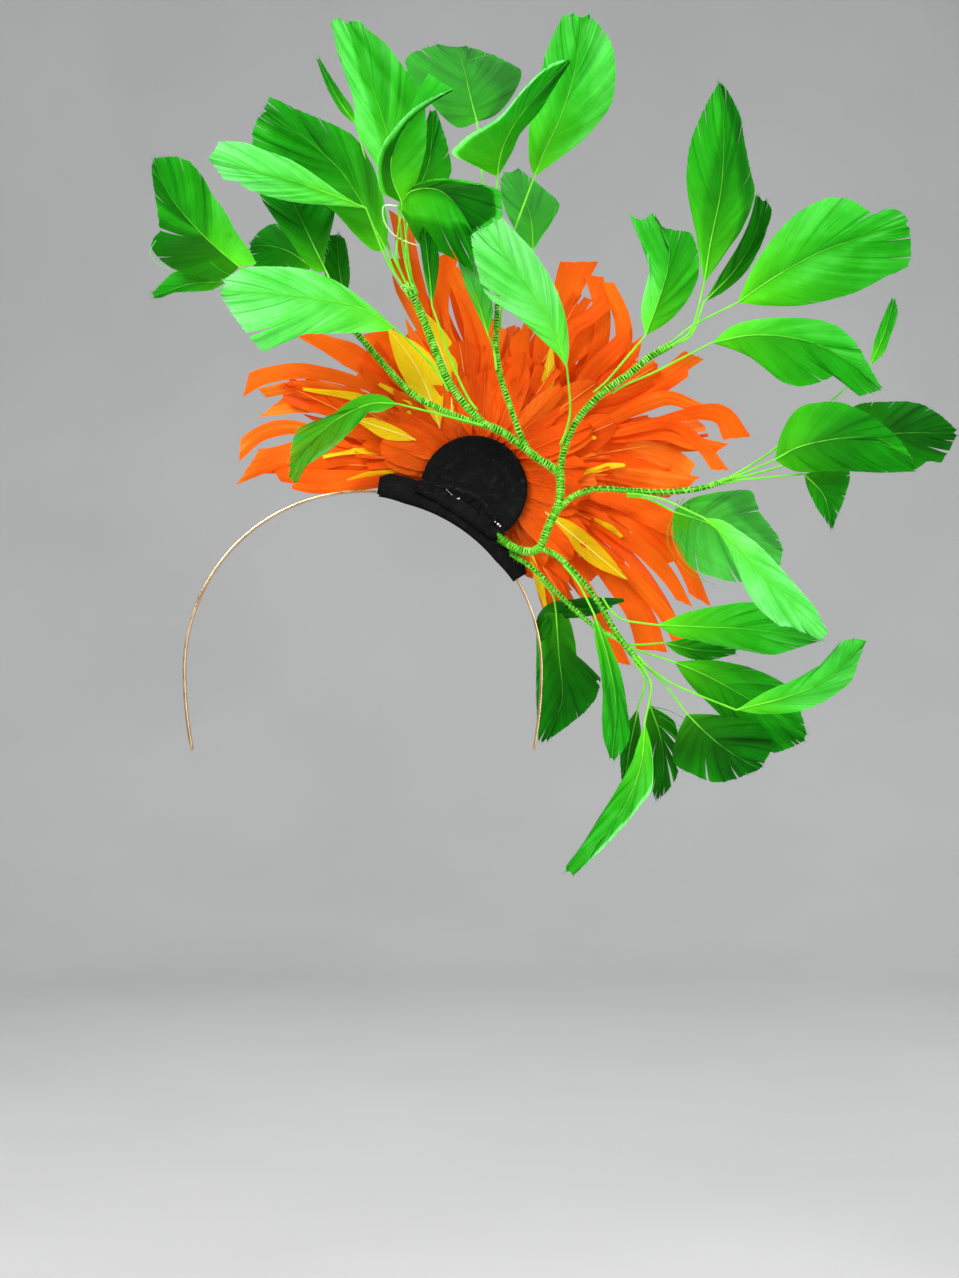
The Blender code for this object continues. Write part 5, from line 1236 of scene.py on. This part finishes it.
def stem(name):
    rng = np.random.default_rng(300 + sum(ord(c) for c in name))
    r0, r1, pts = BRANCHES[name]
    r0, r1 = r0 * 0.90, r1 * 0.90
    pts = LEAD_IN.get(name, ()) + tuple(pts)
    line = Line(np.array([tuple(p) for p in through([place(u, v, y / 1000) for u, v, y in pts], 90)]))
    piece = Piece()
    turns_mm, tight = STEMS[name]
    turns_mm *= 0.66
    long_mm = line.long * 1000
    # bundle of quills and wire inside the thread
    n = 140
    t = np.linspace(0, 1, n)
    C = line.at(t)
    T, N, B = frames(C)
    r = r0 + (r1 - r0) * t
    lumps = 1 + 0.10 * noise1(n, int(long_mm / 6) + 3, rng)
    for k in range(4):
        a = k * math.pi / 2 + 0.6 * np.sin(2 * math.pi * t * 0.7 + k) + 0.4 * k
        P = C + (N * np.cos(a)[:, None] + B * np.sin(a)[:, None]) * (r * 0.42 * lumps)[:, None]
        verts, faces = tube(P, r * 0.50, 7)
        piece.add(verts, faces, 2 if k == 1 else 1, None, 0.35)
    # thread: one winding, its pitch tight where it binds and loose between
    fine = int(long_mm * 14)
    ts = np.linspace(0.0, 1.0, fine)
    rate = np.full(fine, turns_mm)
    for a, b, w in tight:
        rate = np.where((ts >= a) & (ts <= b), w * 0.66, rate)
    rate = rate * (1 + 0.35 * noise1(fine, int(long_mm / 3) + 4, rng))
    turn = np.concatenate([[0], np.cumsum((rate[1:] + rate[:-1]) / 2 * long_mm / (fine - 1))])
    for strand in range(2):
        steps = int(turn[-1] * 10)
        want = np.linspace(0, turn[-1], steps)
        tt = np.interp(want, turn, ts) + (0.3 / long_mm) * strand
        tt = np.clip(tt, 0, 1)
        C2 = line.at(tt)
        N2 = np.stack([np.interp(tt, t, N[:, k]) for k in range(3)], axis=-1)
        B2 = np.stack([np.interp(tt, t, B[:, k]) for k in range(3)], axis=-1)
        phi = want * 2 * math.pi * (1 if strand == 0 else -0.83) + strand * 1.1
        rr = (r0 + (r1 - r0) * tt) * (1.0 + 0.07 * noise1(steps, int(turn[-1]) + 4, rng) + 0.03 * strand)
        P = C2 + (N2 * np.cos(phi)[:, None] + B2 * np.sin(phi)[:, None]) * (rr - 0.00016)[:, None]
        verts, faces = tube(P, 0.00032 if strand == 0 else 0.00022, 5)
        shade = 0.56 + 0.30 * noise1(steps, int(turn[-1] * 2.2) + 4, rng)
        if name in LEAD_IN:
            # painted shade on the first few millimetres, where the stem goes in under the felt
            shade = shade - 0.34 * (1 - ease((tt * long_mm - 6.0) / 7.0))
        shade = np.concatenate([np.repeat(shade, 5), shade[:1], shade[-1:]])
        piece.add(verts, faces, 0, None, np.clip(shade, 0, 1))
    # loose fibres
    count = int(long_mm * 9)
    tt = rng.uniform(0, 1, count)
    a = rng.uniform(0, 2 * math.pi, count)
    C2 = line.at(tt)
    N2 = np.stack([np.interp(tt, t, N[:, k]) for k in range(3)], axis=-1)
    B2 = np.stack([np.interp(tt, t, B[:, k]) for k in range(3)], axis=-1)
    T2 = np.stack([np.interp(tt, t, T[:, k]) for k in range(3)], axis=-1)
    out = N2 * np.cos(a)[:, None] + B2 * np.sin(a)[:, None]
    ways = out * 0.8 + T2 * rng.normal(size=(count, 1)) * 0.8 + rng.normal(size=(count, 3)) * 0.3
    ways /= np.linalg.norm(ways, axis=1, keepdims=True)
    starts = C2 + out * ((r0 + (r1 - r0) * tt) - 0.0001)[:, None]
    verts, faces = hairs(starts, ways, rng.uniform(0.0004, 0.0016, count), 0.5, 0.00004, rng, steps=3)
    piece.add(verts, faces, 0, None, np.repeat(rng.uniform(0.4, 1.0, count), 9))
    node = "wrapped_stems" if name == "trunk" else "wrapped_stem_lower" if name == "lower" else None
    return piece.build("stem_" + name, [thread_light, thread_dark, green_quill], node)


for name in STEMS:
    stem(name)

# one stripped quill that curls free, and the frayed knot where it leaves the thread
curl = Piece()
pts = through([place(u, v, y / 1000) for u, v, y in ((398, 206, -40), (384, 206, -38), (384, 220, -34), (392, 233, -31),
                                                     (407, 242, -29), (430, 248, -27), (456, 250, -26))], 60)
verts, faces = tube(np.array([tuple(p) for p in pts]), np.linspace(0.00036, 0.00018, 61), 6)
curl.add(verts, faces, 0, None, 1.0)
rng = np.random.default_rng(5)
knot = np.array(tuple(place(408, 286, -0.0265)))
for k in range(14):
    a = rng.normal(size=(3,)) * 0.0013
    b = rng.normal(size=(3,)) * 0.0013
    c = rng.normal(size=(3,)) * 0.0015
    loop = through([Vector(knot + a), Vector(knot + (a + b) / 2 + c * 0.5), Vector(knot + b), Vector(knot + b + c * 0.7)], 14)
    verts, faces = tube(np.array([tuple(p) for p in loop]), 0.00022, 5)
    curl.add(verts, faces, 1, None, 0.9)
curl.build("curled_quill", [quill_material("quill_bare", (0.35, 0.72, 0.25, 1), (0.66, 0.92, 0.55, 1)), thread_light],
           None)

# ---------------------------------------------------------------- felt
crown = np.array(tuple(place(CROWN_U, CROWN_V, 0.0)))


def round_crown(deg, radius, y):
    a = np.radians(deg)
    return np.stack([crown[0] + radius * np.cos(a), crown[1] + y + 0 * a, crown[2] + radius * np.sin(a)], axis=-1)


SADDLE = ((0.00, 0.0083), (0.06, 0.0101), (0.30, 0.0092), (0.60, 0.0088), (0.94, 0.0078), (1.00, 0.0066))
PATCH = ((73.5, 0.0040, 0.0088), (68.0, 0.0034, 0.0102), (62.0, 0.0026, 0.0125), (56.5, 0.0022, 0.0140),
         (51.0, 0.0022, 0.0122), (46.0, 0.0030, 0.0098), (43.5, 0.0048, 0.0090))


def table(rows, t, col=1):
    x = np.array([r[0] for r in rows])
    v = np.array([r[col] for r in rows])
    i = np.clip(np.searchsorted(x, t) - 1, 0, len(x) - 2)
    k = ease((t - x[i]) / (x[i + 1] - x[i]))
    return v[i] + (v[i + 1] - v[i]) * k


def lumps(P, scale, seed):
    """Cheap smooth field over points, about -1 to 1."""
    rng = np.random.default_rng(seed)
    out = 0
    for _ in range(6):
        w = rng.normal(size=3)
        w /= np.linalg.norm(w)
        out = out + np.sin(P @ w * scale * rng.uniform(0.6, 1.7) + rng.uniform(0, 6.28))
    return out / 3.5


def shell(piece, outer, inner, mat=0):
    """Closed wall between two grids of the same size."""
    r, c = outer.shape[:2]
    n = r * c
    face = grid_faces(r, c)
    top = [face[:, ::-1]]
    under = [face + n]
    rim = []
    loop = ([(0, j) for j in range(c)] + [(i, c - 1) for i in range(1, r)] + [(r - 1, j) for j in range(c - 2, -1, -1)]
            + [(i, 0) for i in range(r - 2, 0, -1)])
    ids = np.array([i * c + j for i, j in loop])
    nxt = np.roll(ids, -1)
    rim.append(np.stack([ids, nxt, nxt + n, ids + n], axis=-1))
    piece.add(np.concatenate([outer.reshape(-1, 3), inner.reshape(-1, 3)]), top + under + rim, mat)


def nap(piece, points, normals, rng, long=(0.0004, 0.0012), mat=0):
    ways = normals + rng.normal(size=normals.shape) * 0.6
    ways /= np.linalg.norm(ways, axis=1, keepdims=True)
    n = len(points)
    verts, faces = hairs(points, ways, rng.uniform(*long, n), 0.5, 0.00003, rng, steps=3)
    piece.add(verts, faces, mat)


# saddle over the band; the nap of all three felt pieces goes into one piece of fibres
fibres = Piece()
rng = np.random.default_rng(12)
t = np.linspace(0, 1, 110)[:, None]
q = np.linspace(-1, 1, 64)[None, :]
ridge = table(SADDLE, t)
foot_rise = 0.0002 + 0.0015 * np.maximum(0.0, 1 - 6 * np.minimum(t, 1 - t))
height = foot_rise + (ridge - foot_rise) * (1 - np.abs(q) ** STRIP_SHAPE)
depth = STRIP_HALF * q + 0 * t
drop = depth ** 2 / (2 * 0.097)
deg = STRIP_FROM + (STRIP_TO - STRIP_FROM) * t + 0 * q
hem = 0.00042 * (ease((np.abs(q) - 0.70) / 0.05) - 0.25 * ease((np.abs(q) - 0.93) / 0.06)) + 0 * t
inner = round_crown(deg, CROWN_R + height - drop * np.abs(q), depth)
du, dv = np.gradient(inner, axis=0), np.gradient(inner, axis=1)
normal = np.cross(du, dv)
normal /= np.linalg.norm(normal, axis=-1, keepdims=True)
if np.mean(np.sum(normal * (inner - crown), axis=-1)) < 0:
    normal = -normal
thick = 0.0
surf = inner
skin = surf + normal * (hem + 0.00016 * lumps(surf, 900, 3) + 0.00012 * lumps(surf, 2600, 4))[..., None]
under = surf - normal * FELT
strip = Piece()
shell(strip, skin, under)
pick = rng.integers(0, skin[..., 0].size, 1400)
nap(fibres, skin.reshape(-1, 3)[pick], normal.reshape(-1, 3)[pick], rng)
# pale fibres along the hem: painted highlight on its edge
hemline = skin[:, 10][rng.integers(0, 110, 300)] + rng.normal(size=(300, 3)) * 0.00035
nap(fibres, hemline, np.tile([0.1, -0.9, 0.4], (300, 1)), rng, long=(0.0004, 0.0011), mat=1)
saddle_ob = strip.build("felt_saddle", [felt], "felt_strip")

# upright back plate
disc_at = np.array(tuple(place(DISC_U, DISC_V, 0.0)))
cut_r = CROWN_R + 0.0084
plate = Piece()
ang = np.linspace(0, 2 * math.pi, 120, endpoint=False)
ray = np.stack([np.cos(ang), 0 * ang, np.sin(ang)], axis=-1)
# the foot of the plate is cut to the curve of the saddle: distance from the plate's middle to that curve on each ray
gap = disc_at - crown
along_ray = ray @ gap
reach2 = along_ray ** 2 - (gap @ gap - cut_r ** 2)
foot = np.where((reach2 > 0) & (along_ray < 0), -along_ray - np.sqrt(np.maximum(reach2, 0.0)), 1.0)
edge_r = np.minimum(DISC_R, foot)
prof = np.concatenate([np.linspace(0, 0.90, 20)[1:], 1 - 0.10 * (1 - np.sin(np.linspace(0, math.pi / 2, 9)[1:]))])
lift = np.concatenate([np.full(19, 1.0), np.cos(np.linspace(0, math.pi / 2, 9)[1:])])
prof = np.concatenate([prof, prof[-2::-1]])
lift = np.concatenate([lift, -lift[-2::-1]])
P = disc_at + ray[None] * (edge_r[None] * prof[:, None])[..., None]
P = P + (disc_at - P) * (-0.006 * lumps(P, 1500, 9) * prof[:, None] ** 6 * (edge_r > 0.999 * DISC_R))[..., None]
P[..., 1] = -lift[:, None] * (FELT / 2 + 0.0001) - 0.00010 * lumps(P * [1, 0, 1], 700, 8) * np.abs(lift[:, None])
n, m = P.shape[:2]
k = np.arange(m)
plate.add(np.vstack([P.reshape(-1, 3), P[0].mean(0), P[-1].mean(0)]),
          [grid_faces(n, m, True)[:, ::-1], np.stack([np.full(m, n * m), k, (k + 1) % m], axis=-1),
           np.stack([np.full(m, n * m + 1), (n - 1) * m + (k + 1) % m, (n - 1) * m + k], axis=-1)])
edge_a = rng.uniform(-0.6, 3.9, 900)
edge_a = edge_a[np.interp(edge_a, ang, edge_r, period=2 * math.pi) > 0.999 * DISC_R]
pts = disc_at + np.stack([np.cos(edge_a), 0 * edge_a, np.sin(edge_a)], axis=-1) * (DISC_R - 0.0001)
pts[:, 1] = rng.uniform(-0.0008, 0.0008, len(edge_a))
nap(fibres, pts, np.stack([np.cos(edge_a), 0 * edge_a, np.sin(edge_a)], axis=-1), rng, long=(0.0002, 0.0008))
plate_ob = plate.build("felt_plate", [felt], "felt_disc")

# patch over the plate's foot
t = np.linspace(0, 1, 80)
degs = PATCH[0][0] + (PATCH[-1][0] - PATCH[0][0]) * t
rows_ = tuple((-r[0], r[1], r[2]) for r in PATCH)
low = table(rows_, -degs, 1)
high = table(rows_, -degs, 2)
low = low + 0.00018 * noise1(80, 16, rng)
high = high + 0.00030 * noise1(80, 22, rng)
qq = np.linspace(0, 1, 30)
hgt = low[:, None] + (high - low)[:, None] * qq[None]
share = (STRIP_FROM - degs) / (STRIP_FROM - STRIP_TO)
rg = table(SADDLE, share)[:, None]
sad = STRIP_HALF * np.maximum(0.0, 1 - hgt / rg) ** (1 / STRIP_SHAPE)
lean = np.maximum(sad, FELT / 2) + FELT * 0.5 + 0.0013
mid = round_crown(degs[:, None] + 0 * hgt, CROWN_R + hgt, -lean)
du, dv = np.gradient(mid, axis=0), np.gradient(mid, axis=1)
nrm = np.cross(du, dv)
nrm /= np.linalg.norm(nrm, axis=-1, keepdims=True)
if nrm[..., 1].mean() > 0:
    nrm = -nrm
bumps = 0.00050 * lumps(mid, 520, 21) + 0.00020 * lumps(mid, 1500, 22)
for at, slope, deep in ((0.16, 0.10, 0.0007), (0.33, -0.12, 0.0009), (0.52, 0.16, 0.0008), (0.68, -0.08, 0.0010), (0.84, 0.12, 0.0008)):
    bumps = bumps - deep * np.exp(-((t[:, None] - at - slope * (qq[None] - 0.5)) / 0.016) ** 2) * ease(qq[None] * 1.6)
bumps = bumps + 0.0007 * np.exp(-((qq[None] - 0.90) / 0.09) ** 2)
patch = Piece()
outer = mid + nrm * (0.0009 + bumps)[..., None]
shell(patch, outer, mid - nrm * 0.0009)
pick = rng.integers(0, outer[..., 0].size, 800)
nap(fibres, outer.reshape(-1, 3)[pick], nrm.reshape(-1, 3)[pick], rng)
edge = np.vstack([outer[:, -1], outer[:, 0], outer[0], outer[-1]])
edge = edge[rng.integers(0, len(edge), 700)]
nap(fibres, edge, np.tile([0.0, -0.4, 0.6], (700, 1)), rng, long=(0.0005, 0.0018))
# pale fibres along the patch's top edge: painted highlight on that edge
patch_edge_highlight = outer[:, -1][rng.integers(0, 80, 420)] + rng.normal(size=(420, 3)) * 0.00025
nap(fibres, patch_edge_highlight, np.tile([0.1, -0.9, 0.4], (420, 1)), rng, long=(0.0005, 0.0014), mat=1)
patch_ob = patch.build("felt_cover", [felt], "felt_patch")
fibres.build("felt_fibres", [felt, edge_highlight_fibre], None)

# dry glue specks and loose strands on the felt
bits = Piece()
for u, v, y, size in ((446, 489, -3.2, 1.1), (457, 499.5, -6.0, 1.5), (459, 498.5, -6.0, 0.8), (498, 524, -5.6, 1.2), (500, 526, -5.6, 0.9), (495, 522, -5.4, 0.7),
                      (432, 505, -10.0, 0.6), (441, 497, -7.4, 0.6), (428, 502, -10.4, 0.5)):
    c = np.array(tuple(place(u, v, y / 1000)))
    a, b = np.meshgrid(np.linspace(0, math.pi, 9), np.linspace(0, 2 * math.pi, 12, endpoint=False), indexing="ij")
    ball = np.stack([np.sin(a) * np.cos(b), np.cos(a) * 0.6, np.sin(a) * np.sin(b)], axis=-1)
    ball = ball * (1 + 0.25 * lumps(ball * 0.001, 2200, int(u)))[..., None] * size * UNIT
    bits.add((c + ball[1:-1]).reshape(-1, 3), [grid_faces(7, 12, True)])
    for ring, flip in ((1, False), (7, True)):
        k = np.arange(12)
        fan = np.stack([np.full(12, 12), (k + 1) % 12, k], axis=-1)
        bits.add(np.vstack([c + ball[ring], c + ball[0 if ring == 1 else 8].mean(0)]), [fan[:, ::-1] if flip else fan])
for pts in (((426, 500, -9.2), (431, 497, -9.4), (436, 501, -9.0), (441, 506, -9.2)), ((430, 508, -10.0), (436, 504, -9.2), (443, 498, -7.0)),
            ((446, 489, -4.6), (452, 495, -5.6), (458, 500, -6.0)), ((428, 504, -9.8), (434, 510, -10.2), (440, 508, -9.6))):
    line = np.array([tuple(p) for p in through([place(u, v, y / 1000) for u, v, y in pts], 16)])
    verts, faces = tube(line, 0.00012, 5)
    bits.add(verts, faces, 1)
bits.build("glue_specks", [glue, lint], None)

# ---------------------------------------------------------------- headband
arc, leg = math.pi * BAND_R, BAND_LEG
s = np.linspace(0, arc + 2 * leg, 260)
out = np.empty((len(s), 3))
norm = np.empty((len(s), 3))
for i, x in enumerate(s):
    if x < leg or x > leg + arc:
        side = 1 if x < leg else -1
        fall = leg - x if side > 0 else x - leg - arc
        out[i] = crown + [side * (BAND_R - BAND_TOE_IN * (fall / leg) ** 2), 0, -fall]
    else:
        a = (x - leg) / BAND_R
        out[i] = crown + [BAND_R * math.cos(a), 0, BAND_R * math.sin(a)]
tan = np.gradient(out, axis=0)
tan /= np.linalg.norm(tan, axis=1, keepdims=True)
norm = np.cross(tan, [0.0, 1.0, 0.0])
norm *= np.sign(np.sum(norm * (out - crown), axis=1))[:, None]
half = BAND_WIDE / 2
# section of the band: across (y) and outwards, with two raised edges and a shallow channel
SECTION = ((-1.00, 0.35), (-0.97, 0.80), (-0.90, 1.00), (-0.72, 1.00), (-0.62, 0.80), (-0.30, 0.66), (0.0, 0.62), (0.30, 0.66),
           (0.62, 0.80), (0.72, 1.00), (0.90, 1.00), (0.97, 0.80), (1.00, 0.35), (0.96, 0.10), (0.88, 0.0), (0.45, 0.0),
           (0.0, 0.0), (-0.45, 0.0), (-0.88, 0.0), (-0.96, 0.10))
near_end = np.minimum(s, s[-1] - s)
narrow = np.sqrt(np.clip(1 - (1 - np.clip(near_end / 0.0024, 0, 1)) ** 2, 0.04, 1))
sec = np.array(SECTION)
ring = (out[:, None] + np.array([0.0, 1.0, 0.0]) * (sec[:, 0] * half)[None, :, None] * narrow[:, None, None]
        + norm[:, None] * (sec[:, 1] * BAND_THICK)[None, :, None])
m = len(sec)
verts = np.vstack([ring.reshape(-1, 3), ring[0].mean(0), ring[-1].mean(0)])
k = np.arange(m)
n = len(s) * m
band = Piece()
band.add(verts, [grid_faces(len(s), m, True), np.stack([np.full(m, n), (k + 1) % m, k], axis=-1),
                 np.stack([np.full(m, n + 1), n - m + k, n - m + (k + 1) % m], axis=-1)])
band.build("band_metal", [gold], "headband")

# ---------------------------------------------------------------- studio
FLOOR_Z = -0.42
prof = [(-3.2, FLOOR_Z), (1.5, FLOOR_Z)]
for k in range(1, 25):
    a = math.pi / 2 * k / 24
    prof.append((1.5 + 0.9 * math.sin(a), FLOOR_Z + 0.9 * (1 - math.cos(a))))
prof.append((2.4, 3.2))
cyc = bpy.data.meshes.new("studio_sweep")
verts = [(x, y, z) for x in (-3.6, 3.6) for y, z in prof]
count = len(prof)
cyc.from_pydata(verts, [], [(i, i + 1, count + i + 1, count + i) for i in range(count - 1)])
cyc.shade_smooth()
cyc.materials.append(plain_material("studio_paper", (0.47, 0.47, 0.473, 1), (0.50, 0.50, 0.503, 1), 3.0, 0.95))
sweep_ob = bpy.data.objects.new("studio_sweep", cyc)
bpy.context.scene.collection.objects.link(sweep_ob)


def softbox(name, at, aim, size, power, colour=(1, 1, 1)):
    data = bpy.data.lights.new(name, "AREA")
    data.shape = "RECTANGLE"
    data.size, data.size_y = size
    data.energy = power
    data.color = colour
    ob = bpy.data.objects.new(name, data)
    ob.location = at
    ob.rotation_mode = "QUATERNION"
    ob.rotation_quaternion = (Vector(aim) - Vector(at)).to_track_quat("-Z", "Y")
    bpy.context.scene.collection.objects.link(ob)


AIM = (0.03, 0.0, 0.02)
softbox("key", (-0.90, -1.30, 1.00), AIM, (0.9, 0.9), 43, (1.0, 0.99, 0.97))
softbox("fill", (1.2, -1.35, 0.25), AIM, (1.1, 1.4), 18, (0.97, 0.99, 1.0))
softbox("top", (0.1, 0.35, 1.5), (0.05, 0.0, 0.0), (1.4, 1.2), 18)
softbox("back", (1.7, 0.75, 0.9), AIM, (0.8, 0.8), 14)
world = bpy.data.worlds.new("studio_air")
world.use_nodes = True
world.node_tree.nodes["Background"].inputs[0].default_value = (0.86, 0.88, 0.90, 1)
world.node_tree.nodes["Background"].inputs[1].default_value = 0.38
bpy.context.scene.world = world

cam = bpy.data.cameras.new("camera")
cam.sensor_fit = "AUTO"
cam.sensor_width = 36.0
cam.lens = 18.0 / (639 * UNIT / SIGHT)
cam.clip_start, cam.clip_end = 0.01, 30.0
cam_ob = bpy.data.objects.new("camera", cam)
cam_ob.location = ((EYE_U - ORIGIN_U) * UNIT, -SIGHT, -(EYE_V - ORIGIN_V) * UNIT)
cam_ob.rotation_euler = (math.pi / 2, 0, 0)
bpy.context.scene.collection.objects.link(cam_ob)
bpy.context.scene.camera = cam_ob
bpy.context.scene.view_settings.view_transform = "Standard"
bpy.context.scene.view_settings.look = "None"
